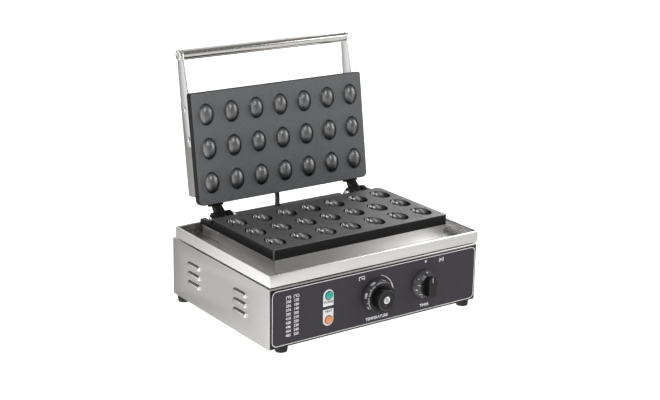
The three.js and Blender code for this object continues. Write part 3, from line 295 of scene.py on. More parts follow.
def tintedLens(name, color, glow):
    # a pressed prism pattern behind a clear tinted face
    material, tree, shader = startMaterial(name, color, 0.12, Coat_Weight=0.6, Coat_Roughness=0.05,
                                           Emission_Strength=glow)
    shader.inputs["Emission Color"].default_value = (*color, 1)
    cells = addNode(tree, "ShaderNodeTexVoronoi", Scale=900.0)
    coordinates = tree.nodes.new("ShaderNodeTexCoord")
    tree.links.new(coordinates.outputs["Object"], cells.inputs["Vector"])
    dark = tuple(c * 0.7 for c in color)
    feed(shader, "Base Color", tint(tree, cells.outputs["Distance"], color, dark))
    bumpFrom(tree, shader, cells.outputs["Distance"], 0.15, 0.0002)
    return material


def floorMaterial():
    material, tree, shader = startMaterial("paleFloor", studio["floorColor"], 0.6,
                                           Emission_Strength=studio["floorGlow"])
    shader.inputs["Emission Color"].default_value = (*studio["floorColor"], 1)
    cloud = noisePattern(tree, 2.0, 2.0)
    feed(shader, "Roughness", spread(tree, cloud, 0.55, 0.65))
    return material


def woolMaterial():
    material, tree, shader = startMaterial("mineralWool", (0.7, 0.67, 0.58), 0.95)
    fibres = noisePattern(tree, 1.0, 5.0, (900, 120, 900))
    feed(shader, "Base Color", tint(tree, fibres, (0.52, 0.49, 0.4), (0.82, 0.79, 0.7)))
    bumpFrom(tree, shader, fibres, 0.6, 0.001)
    return material


def sleeveMaterial():
    # a woven heat-proof sleeve: two crossed fine waves along the tube
    material, tree, shader = startMaterial("wovenSleeve", (0.03, 0.03, 0.033), 0.55)
    uv = tree.nodes.new("ShaderNodeUVMap")
    uv.uv_map = "along"
    waves = []
    for angle in (45, -45):
        mapping = addNode(tree, "ShaderNodeMapping", Rotation=(0, 0, math.radians(angle)),
                          Scale=(14, 14, 14))
        wave = addNode(tree, "ShaderNodeTexWave", Scale=1.2, Distortion=0.2)
        tree.links.new(uv.outputs["UV"], mapping.inputs["Vector"])
        tree.links.new(mapping.outputs["Vector"], wave.inputs["Vector"])
        waves.append(wave.outputs["Fac"])
    cross = combine(tree, "MAXIMUM", *waves)
    feed(shader, "Base Color", tint(tree, cross, (0.015, 0.015, 0.017), (0.09, 0.09, 0.095)))
    bumpFrom(tree, shader, cross, 0.5, 0.0004)
    return material


bodySteel = brushedSheet("bodySteel", (0.58, 0.57, 0.56), 0.34, "Y")
traySteel = brushedSheet("traySteel", (0.95, 0.94, 0.92), 0.34, "X", 0.03)
troughPaintedShade = brushedSheet("troughPaintedShade", (0.58, 0.575, 0.57), 0.26, "X", 0.03, 0.03)
leftChannelPaintedShade = brushedSheet("leftChannelPaintedShade", (0.3, 0.297, 0.29), 0.3, "X", 0.03, 0.02)
housingSteel = brushedSheet("housingSteel", (0.84, 0.835, 0.825), 0.42, "X", 0.02, 0.01)
louvreTopPaintedShade = brushedSheet("louvreTopPaintedShade", (0.20, 0.195, 0.19), 0.4, "Y", 0.04)
coverSteel = brushedSheet("coverSteel", (0.52, 0.505, 0.49), 0.34, "X")
armSteel = brushedSheet("armSteel", (0.74, 0.735, 0.73), 0.36, "Y")
polishedBar = brushedSheet("polishedBar", (0.78, 0.76, 0.74), 0.16, "X", 0.01, 0.01)
zincAndPaintedHighlight = brushedSheet("zincAndPaintedHighlight", (0.92, 0.92, 0.92), 0.5, "X", 0.03)
platedSteel = brushedSheet("platedSteel", (0.70, 0.71, 0.72), 0.3, "Z")
elementSteel = brushedSheet("elementSteel", (0.34, 0.33, 0.31), 0.5, "X")
blackSteel = coatedCasting("blackSteel", (0.012, 0.012, 0.013), 0.35)
plateFace = coatedCasting("plateFace", (0.125, 0.130, 0.135), 0.6, 0.15, 0.5, 420.0)
lowerFace = coatedCasting("lowerFace", (0.075, 0.075, 0.075), 0.42, 0.5, 0.4, 420.0)
domeCoating = coatedCasting("domeCoating", (0.006, 0.007, 0.008), 0.4, 0.95, 0.08, ior=2.0,
                            edgeGloss=0.12)
cavityCoating = coatedCasting("cavityCoating", (0.003, 0.003, 0.003), 0.3, 1.0, 0.02, ior=2.0,
                              edgeGloss=0.06)
# plateEdge: the plates' sides, backs and undersides, darker than their faces as painted shade
plateEdge = coatedCasting("plateEdge", (0.014, 0.014, 0.014), 0.45, 0.16)
wearAndHighlightEdge = coatedCasting("wearAndHighlightEdge", (0.09, 0.09, 0.088), 0.4, 0.6, 0.3)
hingeIron = coatedCasting("hingeIron", (0.006, 0.006, 0.006), 0.4, 0.22, 0.1)
knobPlastic = mouldedPlastic("knobPlastic", (0.008, 0.008, 0.009), 0.32, gloss=0.45)
dialPaintedHighlight = mouldedPlastic("dialPaintedHighlight", (0.05, 0.05, 0.054), 0.3, gloss=0.5)
panelMargin = mouldedPlastic("panelMargin", (0.006, 0.006, 0.007), 0.45, gloss=0.3)
panelFilm = mouldedPlastic("panelFilm", (0.034, 0.030, 0.039), 0.45, 0.2, gloss=0.4)
panelInk = mouldedPlastic("panelInk", (0.86, 0.85, 0.88), 0.5, 0.02)
labelFilm = mouldedPlastic("labelFilm", (0.86, 0.86, 0.85), 0.4, 0.05)
darkInk = mouldedPlastic("darkInk", (0.02, 0.02, 0.02), 0.5, 0.02)
powerLens = tintedLens("powerLens", (0.0, 0.42, 0.34), 0.25)
powerRim = tintedLens("powerRim", (0.0, 0.12, 0.10), 0.0)
heatLens = tintedLens("heatLens", (0.86, 0.30, 0.10), 0.25)
heatRim = tintedLens("heatRim", (0.33, 0.10, 0.04), 0.0)
footRubber = mouldedPlastic("footRubber", (0.012, 0.012, 0.012), 0.75, 0.4)
ceramicBody = mouldedPlastic("ceramicBody", (0.78, 0.76, 0.7), 0.5, 0.1)
mineralWool = woolMaterial()
wovenSleeve = sleeveMaterial()
print("materials ready")


# ---- modelling helpers

def linkObject(name, data):
    item = bpy.data.objects.new(name, data)
    bpy.context.collection.objects.link(item)
    return item


def linkMesh(name, bm):
    mesh = bpy.data.meshes.new(name)
    bm.to_mesh(mesh)
    bm.free()
    return linkObject(name, mesh)


def pour(source, target):
    # the source's faces move into the target
    mesh = bpy.data.meshes.new("poured")
    source.to_mesh(mesh)
    source.free()
    target.from_mesh(mesh)
    bpy.data.meshes.remove(mesh)


def unique(items):
    # each item once, always in the same order
    return list(dict.fromkeys(items))


def roundEdges(bm, edges, radius, segments=3):
    bmesh.ops.bevel(bm, geom=edges, offset=radius, offset_type="OFFSET", segments=segments,
                    profile=0.5, affect="EDGES", clamp_overlap=True, material=-1)


def direction(edge):
    return (edge.verts[1].co - edge.verts[0].co).normalized()


def isUpright(along):
    return abs(along.z) > 0.9


def addBlock(bm, low, high, radius=0, segments=3, pick=None):
    low, high = Vector(low), Vector(high)
    made = bmesh.ops.create_cube(bm, size=1)["verts"]
    bmesh.ops.scale(bm, vec=high - low, verts=made)
    bmesh.ops.translate(bm, vec=(low + high) / 2, verts=made)
    if radius:
        edges = unique(e for v in made for e in v.link_edges)
        roundEdges(bm, [e for e in edges if not pick or pick(direction(e))], radius, segments)


def addTurned(bm, profile, centre, axis="Z", steps=48):
    # profile: (radius, height) pairs; height runs along the axis, which may be "-Y"
    verts = [bm.verts.new((radius, 0, height)) for radius, height in profile]
    edges = [bm.edges.new(pair) for pair in zip(verts, verts[1:])]
    bmesh.ops.spin(bm, geom=verts + edges, cent=(0, 0, 0), axis=(0, 0, 1), dvec=(0, 0, 0),
                   angle=math.tau, space=Matrix.Identity(4), steps=steps, use_merge=True,
                   use_normal_flip=False, use_duplicate=False)
    verts = linkedVerts(verts[0])
    bmesh.ops.remove_doubles(bm, verts=verts, dist=0.0005)
    verts = linkedVerts(next(v for v in verts if v.is_valid))
    faceOutwards(bm, verts)
    # quarter turns that bring z onto the axis, and what they turn about
    quarters, about = {"Z": (0, "X"), "-Z": (2, "X"), "-Y": (1, "X"), "Y": (-1, "X"),
                       "X": (1, "Y"), "-X": (-1, "Y")}[axis]
    turn = Matrix.Rotation(quarters * math.pi / 2, 4, about)
    bmesh.ops.transform(bm, matrix=Matrix.Translation(centre) @ turn, verts=verts)
    return verts


def linkedVerts(start):
    found, waiting = {start: True}, [start]
    while waiting:
        for edge in waiting.pop().link_edges:
            for vert in edge.verts:
                if vert not in found:
                    found[vert] = True
                    waiting.append(vert)
    return list(found)


def faceOutwards(bm, verts):
    bmesh.ops.recalc_face_normals(bm, faces=unique(f for v in verts for f in v.link_faces))


def extrudeFace(bm, points, vec):
    # a flat outline and its copy moved by vec, joined into a closed body; returns the copy
    face = bm.faces.new([bm.verts.new(point) for point in points])
    made = bmesh.ops.extrude_face_region(bm, geom=[face])["geom"]
    moved = [v for v in made if isinstance(v, bmesh.types.BMVert)]
    bmesh.ops.translate(bm, vec=vec, verts=moved)
    return moved


def outwardAxis(side):
    return "X" if side > 0 else "-X"


def tangentAngle(corner, centre, radius, side):
    # where a line from the corner touches the circle, in degrees
    apart = Vector(corner) - Vector(centre)
    return math.degrees(math.atan2(apart.y, apart.x) + side * math.acos(radius / apart.length))


def addSideProfile(bm, points, x0, x1, radius=0.6, segments=2):
    # a flat outline of (y, z) points, extruded along x with softened edges
    moved = extrudeFace(bm, [(x0, y, z) for y, z in points], (x1 - x0, 0, 0))
    verts = linkedVerts(moved[0])
    faceOutwards(bm, verts)
    if radius:
        edges = unique(e for v in verts for e in v.link_edges)
        roundEdges(bm, [e for e in edges if abs(direction(e).x) < 0.5], radius, segments)


def arc(y, z, radius, start, end, steps=24):
    for i in range(steps + 1):
        angle = math.radians(start + (end - start) * i / steps)
        yield y + radius * math.cos(angle), z + radius * math.sin(angle)


def makePiece(name, bm, material, body, replaces=(), lid=False, sharp=35, bevel=0, paint=()):
    # paint: more finishes, each with a test of which faces take it
    for index, (_, test) in enumerate(paint, 1):
        for face in bm.faces:
            if test(face.normal, face.calc_center_median()):
                face.material_index = index
    bmesh.ops.transform(bm, matrix=toFrame @ openLid if lid else toFrame, verts=bm.verts[:])
    piece = linkMesh(name, bm)
    piece.data.shade_smooth()
    piece.data.set_sharp_from_angle(angle=math.radians(sharp))
    for item in (material, *(finish for finish, _ in paint)):
        piece.data.materials.append(item)
    if bevel:
        softEdge = piece.modifiers.new("softEdge", "BEVEL")
        softEdge.width = bevel * mm
        softEdge.segments = 2
        softEdge.limit_method = "ANGLE"
        softEdge.angle_limit = math.radians(40)
        softEdge.harden_normals = True
    if body:
        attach(piece, body)
    if replaces:
        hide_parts(*replaces)
    return piece


def carveWith(bm, cutter, operation="DIFFERENCE"):
    # joins or cuts one bmesh with another and returns the result
    kept, tool = linkMesh("kept", bm), linkMesh("tool", cutter)
    step = kept.modifiers.new("carve", "BOOLEAN")
    step.operation = operation
    step.object = tool
    step.solver = "EXACT"
    evaluated = kept.evaluated_get(bpy.context.evaluated_depsgraph_get())
    result = bmesh.new()
    result.from_mesh(evaluated.to_mesh())
    evaluated.to_mesh_clear()
    for item in (kept, tool):
        mesh = item.data
        bpy.data.objects.remove(item)
        bpy.data.meshes.remove(mesh)
    return result


def carryOver(material, *nodes):
    # a CAD node keeps its shape and gets the real finish
    for name in nodes:
        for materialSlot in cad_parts[name].material_slots:
            materialSlot.material = material


textWeight = 0.025      # how far letters swell, as a share of their size


def addText(bm, words, size, matrix):
    data = bpy.data.curves.new("words", "FONT")
    data.body = words
    data.size = size
    data.align_x = "CENTER"
    data.align_y = "CENTER"
    data.resolution_u = 3
    data.offset = size * textWeight
    item = linkObject("words", data)
    evaluated = item.evaluated_get(bpy.context.evaluated_depsgraph_get())
    mesh = bpy.data.meshes.new_from_object(evaluated)
    mesh.transform(matrix)
    bm.from_mesh(mesh)
    bpy.data.objects.remove(item)
    bpy.data.curves.remove(data)
    bpy.data.meshes.remove(mesh)


def panelPoint(x, z, proud=0):
    # x from the body's left side, z up from its underside, proud of the panel's face
    return (x - bodyValues["width"] / 2, -panelValues["thickness"] - proud,
            z + bodyValues["bottom"])


def onPanel(x, z, proud=None):
    return upright(panelPoint(x, z, proud or panelValues["inkProud"]))


def upright(place):
    # stands a flat drawing up at the place, facing the user
    return Matrix.Translation(place) @ Matrix.Rotation(math.pi / 2, 4, "X")


def offAxis(place, centre, axis):
    # how far the place lies from the centre, across the axis
    apart = place - Vector(centre)
    apart["XYZ".index(axis)] = 0
    return apart.length


# ---- body

bodyValues = {
    "width": 400, "depth": 287, "bottom": 12, "top": 108.5, "sheet": 1.2, "foldRadius": 1.4,
    "louvreLength": 41, "louvreHeight": 7, "louvreBulge": 4, "louvreSheet": 1.0,
    "louvreZ": (45, 60.8, 76.6), "louvreY": (80, 218.5), "louvreDrop": 0.4, "wallEdge": 0.6,
}


def addHoods(bm, shrink, side, reach):
    v = bodyValues
    radius = v["louvreHeight"] - shrink
    stretch = v["louvreLength"] / 2 - v["louvreHeight"]
    for y in v["louvreY"]:
        for z in v["louvreZ"]:
            ball = bmesh.ops.create_uvsphere(bm, u_segments=24, v_segments=16, radius=1)["verts"]
            bmesh.ops.rotate(bm, verts=ball, cent=(0, 0, 0),
                             matrix=Matrix.Rotation(math.pi / 2, 3, "Y"))
            # the two halves move apart into a capsule, rounded at both ends
            front = [p for p in ball if p.co.y < -0.01]
            rear = [p for p in ball if p.co.y > 0.01]
            bmesh.ops.scale(bm, vec=(reach - shrink, radius, radius), verts=ball)
            bmesh.ops.translate(bm, vec=(0, -stretch, 0), verts=front)
            bmesh.ops.translate(bm, vec=(0, stretch, 0), verts=rear)
            # open below: everything under the lower edge is cut away and closed flat
            geom = ball + unique(e for p in ball for e in p.link_edges) + unique(
                f for p in ball for f in p.link_faces)
            bmesh.ops.bisect_plane(bm, geom=geom, dist=0.001, plane_co=(0, 0, 0),
                                   plane_no=(0, 0, 1), clear_inner=True)
            edges = [e for e in bm.edges if e.is_boundary]
            bmesh.ops.contextual_create(bm, geom=edges)
            verts = linkedVerts(edges[0].verts[0])
            faceOutwards(bm, verts)
            place = (side * (v["width"] / 2 - v["sheet"]), y, z)
            bmesh.ops.translate(bm, vec=place, verts=verts)


def makeBody():
    v = bodyValues
    half = v["width"] / 2
    shell = bmesh.new()
    addBlock(shell, (-half, 0, v["bottom"]), (half, v["depth"], v["top"]), v["foldRadius"])
    inside = bmesh.new()
    addBlock(inside, (-half + v["sheet"], v["sheet"], v["bottom"] - 5),
             (half - v["sheet"], v["depth"] - v["sheet"], v["top"] - v["sheet"]),
             v["wallEdge"], 2)
    shell = carveWith(shell, inside)
    for side in (-1, 1):
        hoods = bmesh.new()
        addHoods(hoods, 0, side, v["louvreBulge"] + v["sheet"])
        # the half of each hood that lies inside the wall is taken off first
        behind = bmesh.new()
        wall = side * (half - v["sheet"])
        ends = (wall, wall - side * 9)
        addBlock(behind, (min(ends), 0, v["bottom"]), (max(ends), v["depth"], v["top"]))
        hoods = carveWith(hoods, behind)
        shell = carveWith(shell, hoods, "UNION")
        hollows = bmesh.new()
        addHoods(hollows, v["louvreSheet"], side, v["louvreBulge"] + v["sheet"])
        bmesh.ops.translate(hollows, vec=(0, 0, -v["louvreDrop"]), verts=hollows.verts[:])
        shell = carveWith(shell, hollows)
    proud = half + 0.2
    makePiece("body_shell", shell, bodySteel, "base", ("base_shell",), sharp=32, paint=(
        # painted shade: the hood tops take a darker steel
        (louvreTopPaintedShade, lambda normal, place: abs(place.x) > proud and normal.z > 0.45),
        # painted highlight: the hood front ends take bright zinc
        (zincAndPaintedHighlight, lambda normal, place: abs(place.x) > proud and normal.y < -0.35)))


# ---- feet

footValues = {
    "height": 12, "radius": 10.6, "floorRadius": 9.6, "recess": 6, "recessDepth": 6, "bore": 2.8,
    "places": {"front_left": (-168, 15), "front_right": (187, 15),
               "rear_left": (-187, 275.5), "rear_right": (187, 275.5)},
}


def makeFeet():
    v = footValues
    r, low, height, bore = v["radius"], v["floorRadius"], v["height"], v["bore"]
    for name, (x, y) in v["places"].items():
        bm = bmesh.new()
        addTurned(bm, [(v["recess"], 0), (low - 1, 0), (low - 0.3, 0.3), (low, 1),
                       (r, height - 2.5), (r, height), (bore, height), (bore, v["recessDepth"]),
                       (v["recess"], v["recessDepth"]), (v["recess"], 0)], (x, y, 0), "Z", 40)
        makePiece(f"rubber_foot_{name}", bm, footRubber, "base", (f"foot_{name}",))


# ---- control panel

panelValues = {
    "thickness": 0.8, "left": 2.5, "right": 397.5, "bottom": 1.0, "top": 94.0, "edge": 0.25,
    "line": (5.2, 396.4, 3.4, 91.6), "lineCorner": 8.5, "lineWidth": 1.1,
    "fieldProud": 0.02, "lineProud": 0.05, "inkProud": 0.06,
    "columns": {"(°F)": 34.2, "(°C)": 48.4}, "headHeight": 78.2, "headSize": 6.12,
    "tableTop": 71.3, "tablePitch": 6.7, "rows": 9, "celsius": (170, 10), "textSize": 6.0,
    "words": {"TEMPERATURE": (199.5, 11.2), "TIMER": (294, 12), "[°C]": (169, 82),
              "[m]": (326, 83)}, "wordSize": 6.6,
    "pointer": ((291.9, 86.6), (296.1, 86.6), (294, 82.6)),
    "tick": ((201.6, 17.4), (205.2, 17.4), (205.2, 18.3), (201.6, 18.3)),
    "swell": {"radius": 32, "span": 76, "start": 0.25, "growth": 1.25, "inward": 0.4, "steps": 24},
    "temperature": (197.7, 48.5), "timer": (291.5, 48.5),
    "lamps": {"heat": (107.2, 27.5), "power": (107.2, 66.7)},
}
# a point far behind the panel, from which its prints look away
insideBody = (0, 1000, 0)


def roundedRing(bm, inset, proud):
    # the border line's outline, drawn in by the inset
    left, right, bottom, top = panelValues["line"]
    corner = panelValues["lineCorner"]
    points = []
    for x, z, start in ((right - corner, top - corner, 0), (left + corner, top - corner, 90),
                        (left + corner, bottom + corner, 180),
                        (right - corner, bottom + corner, 270)):
        points += [bm.verts.new(panelPoint(*place, proud))
                   for place in arc(x, z, corner - inset, start, start + 90, 8)]
    return [bm.edges.new(pair) for pair in zip(points, points[1:] + points[:1])]


def facingAway(bm, point):
    # turns the fronts of flat printed faces away from the point
    for face in bm.faces:
        face.normal_update()
        if face.normal.dot(face.calc_center_median() - Vector(point)) < 0:
            face.normal_flip()


def makePanel():
    v = panelValues
    bm = bmesh.new()
    addBlock(bm, panelPoint(v["left"], v["bottom"]),
             panelPoint(v["right"], v["top"], -v["thickness"]), v["edge"], 2)
    makePiece("control_panel", bm, panelMargin, "base", ("front_fascia",))

    field = bmesh.new()
    roundedRing(field, 0, v["fieldProud"])
    bmesh.ops.contextual_create(field, geom=field.edges[:])
    facingAway(field, insideBody)
    makePiece("panel_field", field, panelFilm, "base")

    ink = bmesh.new()
    edges = [e for inset in (0, v["lineWidth"]) for e in roundedRing(ink, inset, v["lineProud"])]
    bmesh.ops.bridge_loops(ink, edges=edges)
    for words, x in v["columns"].items():
        addText(ink, words, v["headSize"], onPanel(x, v["headHeight"]))
    first, step = v["celsius"]
    for row in range(v["rows"]):
        celsius = first + row * step
        for x, number in zip(v["columns"].values(), (round(celsius * 9 / 5 + 32), celsius)):
            addText(ink, str(number), v["textSize"],
                    onPanel(x, v["tableTop"] - row * v["tablePitch"]))
    for words, place in v["words"].items():
        addText(ink, words, v["wordSize"], onPanel(*place))
    # the pointer above the timer and the tick below the temperature dial
    for outline in (v["pointer"], v["tick"]):
        ink.faces.new([ink.verts.new(panelPoint(*place, v["inkProud"])) for place in outline])
    # the arc that swells along the temperature dial's upper right
    x, z = v["temperature"]
    arcValues = v["swell"]
    rungs = []
    for i in range(arcValues["steps"] + 1):
        share = i / arcValues["steps"]
        angle = math.radians(arcValues["span"] * (1 - share))
        swell = arcValues["start"] + arcValues["growth"] * share
        rungs.append([ink.verts.new(panelPoint(x + radius * math.cos(angle),
                                               z + radius * math.sin(angle), v["inkProud"]))
                      for radius in (arcValues["radius"] + swell,
                                     arcValues["radius"] - swell * arcValues["inward"])])
    for (outer0, inner0), (outer1, inner1) in zip(rungs, rungs[1:]):
        ink.faces.new((outer0, outer1, inner1, inner0))
    facingAway(ink, insideBody)
    makePiece("panel_lettering", ink, panelInk, "base")


# ---- lamps

lampValues = {
    "labelWidth": 19, "labelLength": 58.5, "labelMiddle": (106.6, 47.1), "labelThickness": 0.5,
    "labelEdge": 0.2, "seam": 5.0, "words": {"POWER": (107.2, 56.0), "HEAT": (107.2, 41.2)},
    "wordSize": 5.0, "wordProud": 0.06, "rim": 7.2, "barrel": 5, "barrelLength": 24,
    "seat": 0.5, "lens": 6.0, "lensBack": 0.6, "lensEdge": 1.2, "lensHeight": 3.3,
}


def makeLamps():
    v = lampValues
    x, z = v["labelMiddle"]
    r = v["labelWidth"] / 2
    for part, sign in (("upper", 1), ("lower", -1)):
        bm = bmesh.new()
        outline = [*arc(0, sign * (v["labelLength"] / 2 - r), r, 0, 180 * sign, 24),
                   (-r, sign * v["seam"] / 2), (r, sign * v["seam"] / 2)]
        front = extrudeFace(bm, [panelPoint(x + px, z + pz) for px, pz in outline],
                            (0, -v["labelThickness"], 0))
        bmesh.ops.recalc_face_normals(bm, faces=bm.faces[:])
        rim = [e for e in bm.edges if all(p in front for p in e.verts)]
        roundEdges(bm, rim, v["labelEdge"], 2)
        makePiece(f"lamp_label_{part}", bm, labelFilm, "base",
                  ("lamp_label",) if part == "upper" else ())
    words = bmesh.new()
    for text, place in v["words"].items():
        addText(words, text, v["wordSize"], onPanel(*place, v["labelThickness"] + v["wordProud"]))
    facingAway(words, insideBody)
    makePiece("lamp_words", words, darkInk, "base")

    finishes = {"power": (powerLens, powerRim), "heat": (heatLens, heatRim)}
    rim, barrel, length, lens = v["rim"], v["barrel"], v["barrelLength"], v["lens"]
    for name, place in panelValues["lamps"].items():
        centre = panelPoint(*place, v["labelThickness"])
        bm = bmesh.new()
        addTurned(bm, [(0, -length), (barrel, -length), (barrel, 0), (rim, 0), (rim, 0.7),
                       (rim - 0.5, v["lensEdge"]), (rim - 1, v["lensEdge"]), (rim - 1, v["seat"]),
                       (0, v["seat"])], centre, "-Y", 40)
        makePiece(f"{name}_lamp_holder", bm, finishes[name][1], "base", (f"{name}_lamp_body",))
        bm = bmesh.new()
        dome = [(lens * math.cos(a), v["lensEdge"] + v["lensHeight"] * math.sin(a))
                for a in (math.radians(t) for t in range(0, 90, 10))]
        addTurned(bm, [(0, v["lensBack"]), (lens, v["lensBack"]), *dome,
                       (0, v["lensEdge"] + v["lensHeight"])], centre, "-Y", 40)
        makePiece(f"{name}_lamp_dome", bm, finishes[name][0], "base", (f"{name}_lamp_lens",))


# ---- dials

dialValues = {
    "gap": 1, "bore": 3.3, "hollow": 12, "hollowDepth": 6, "steps": 72, "printProud": 0.06,
    "printDepth": 0.42, "tickHalf": 0.45, "tickEnd": 0.4, "longTick": 0.6, "shortTick": 0.8,
}
temperatureValues = {
    "skirtBack": 26.5, "skirtFront": 24.2, "skirtDepth": 14, "ringInner": 18.0, "ringSunk": 1.6,
    "grip": 16.6, "gripFront": 15.9, "height": 27, "ridges": 48, "ridgeDepth": 0.45,
    "capRadius": 5.8, "capSunk": 1.4, "slotAngle": 35, "slotHalf": 0.6, "slotDepth": 0.8,
    "slots": ((0, 3.4), (2.6, 0.9), (-2.6, 0.9)),
    "numbers": ("50", "100", "150", "200", "250"), "angles": (-128, -78, -28, 22, 72),
    "ticksBetween": 9, "textSize": 6.2,
}
timerValues = {
    "skirtBack": 23.8, "skirtFront": 17.2, "skirtDepth": 13.5, "barWidth": 15, "barLength": 32,
    "barHeight": 8.4, "grooves": 5, "groovePitch": 4.5, "grooveRadius": 1, "grooveOut": 0.35,
    "pointerHalf": 0.4, "pointer": (8, 17),
    "numbers": ("0", "1", "2", "3", "4", "5"), "angles": (0, -52, -104, -156, -208, -260),
    "ticksBetween": 1, "textSize": 6.4,
}


def addSkirtPrint(bm, v, centre):
    # numbers and tick lines, wrapped round the skirt's cone
    lean = (v["skirtBack"] - v["skirtFront"]) / v["skirtDepth"]
    proud = dialValues["printProud"]
    middle = (v["skirtBack"] + v["skirtFront"]) / 2 + proud

    def onSkirt(angle, across, depth):
        # the angle runs clockwise from the top, the depth forward from the skirt's back
        turn = math.radians(angle) + across / middle
        radius = v["skirtBack"] + proud - lean * depth
        return Vector(centre) + Vector((math.sin(turn) * radius, -depth, math.cos(turn) * radius))

    for words, angle in zip(v["numbers"], v["angles"]):
        letters = bmesh.new()
        addText(letters, words, v["textSize"], Matrix.Identity(4))
        for vert in letters.verts:
            depth = v["skirtDepth"] * dialValues["printDepth"] - vert.co.y
            vert.co = onSkirt(angle, vert.co.x, depth)
        pour(letters, bm)
    between = v["ticksBetween"] + 1
    half, end = dialValues["tickHalf"], v["skirtDepth"] - dialValues["tickEnd"]
    for first, last in zip(v["angles"], v["angles"][1:]):
        for i in range(1, between):
            angle = first + (last - first) * i / between
            tick = "longTick" if i * 2 == between else "shortTick"
            start = v["skirtDepth"] * dialValues[tick]
            bm.faces.new([bm.verts.new(onSkirt(angle, across, depth)) for across, depth in (
                (-half, start), (half, start), (half, end), (-half, end))])


def makeTemperatureDial():
    v = temperatureValues
    back = panelPoint(*panelValues["temperature"], dialValues["gap"])
    bore, hollow, hollowDepth = (dialValues[k] for k in ("bore", "hollow", "hollowDepth"))
    skirt, depth, sunk = v["skirtFront"], v["skirtDepth"], v["skirtDepth"] - v["ringSunk"]
    bm = bmesh.new()
    addTurned(bm, [(hollow, 0), (v["skirtBack"] - 0.3, 0), (v["skirtBack"], 0.4),
                   (skirt + 0.1, depth - 0.5), (skirt - 0.5, depth), (v["ringInner"] + 0.9, depth),
                   (v["ringInner"], sunk), (bore, sunk), (bore, hollowDepth),
                   (hollow, hollowDepth), (hollow, 0)], back, "-Y", dialValues["steps"])
    # fine finger ridges round the grip
    cap, height, grip, gripFront = v["capRadius"], v["height"], v["grip"], v["gripFront"]
    face = height - v["capSunk"]
    profile = [(0, sunk - 1), (grip, sunk - 1), (grip, height - 1.6),
               (gripFront + 0.3, height - 0.4), (gripFront - 0.6, height), (cap + 3.4, height),
               (cap + 2.6, height - 0.5), (cap + 0.3, height - 0.5), (cap + 0.3, face), (0, face)]
    ridged = addTurned(bm, profile, (0, 0, 0), "Z", v["ridges"] * 2)
    for vert in ridged:
        radius = math.hypot(vert.co.x, vert.co.y)
        step = round(math.atan2(vert.co.y, vert.co.x) / math.tau * v["ridges"] * 2)
        if radius > gripFront - 1 and step % 2:
            vert.co.xy = vert.co.xy * (1 - v["ridgeDepth"] / radius)
    bmesh.ops.transform(bm, matrix=upright(back), verts=ridged)

    # painted highlight: the skirt's side and the grip's front bevel take a lighter grey
    def onBand(normal, place):
        away = offAxis(place, back, "Y")
        return (away > skirt - 0.8 and abs(normal.y) < 0.5
                or abs(away - gripFront) < 0.7 and 0.3 < abs(normal.y) < 0.95)

    makePiece("temperature_dial_knob", bm, knobPlastic, "temperature_dial", ("temperature_knob",),
              sharp=25, paint=((dialPaintedHighlight, onBand),))

    button = bmesh.new()
    addTurned(button, [(0, face), (cap, face), (cap, face + 0.9), (cap - 0.5, face + 1.3),
                       (cap - 1.1, face + 1.3), (cap - 1.6, face + 0.9), (0, face + 1.1)],
              back, "-Y", 40)
    half, slotDepth = v["slotHalf"], v["slotDepth"]
    for across, reach in v["slots"]:
        slot = bmesh.new()
        addBlock(slot, (-reach, across - half, -slotDepth), (reach, across + half, slotDepth))
        turn = Matrix.Rotation(math.radians(v["slotAngle"]), 4, "Z")
        bmesh.ops.transform(slot, verts=slot.verts[:],
                            matrix=upright((back[0], back[1] - face - 1.2, back[2])) @ turn)
        button = carveWith(button, slot)
    deep = back[1] - face - 0.7
    makePiece("temperature_dial_cap", button, zincAndPaintedHighlight, "temperature_dial",
              ("temperature_knob_cap",), paint=((knobPlastic, lambda normal, place: place.y > deep
                                                 and offAxis(place, back, "Y") < cap - 0.4),))

    ink = bmesh.new()
    addSkirtPrint(ink, v, back)
    facingAway(ink, back)
    makePiece("temperature_dial_print", ink, panelInk, "temperature_dial")


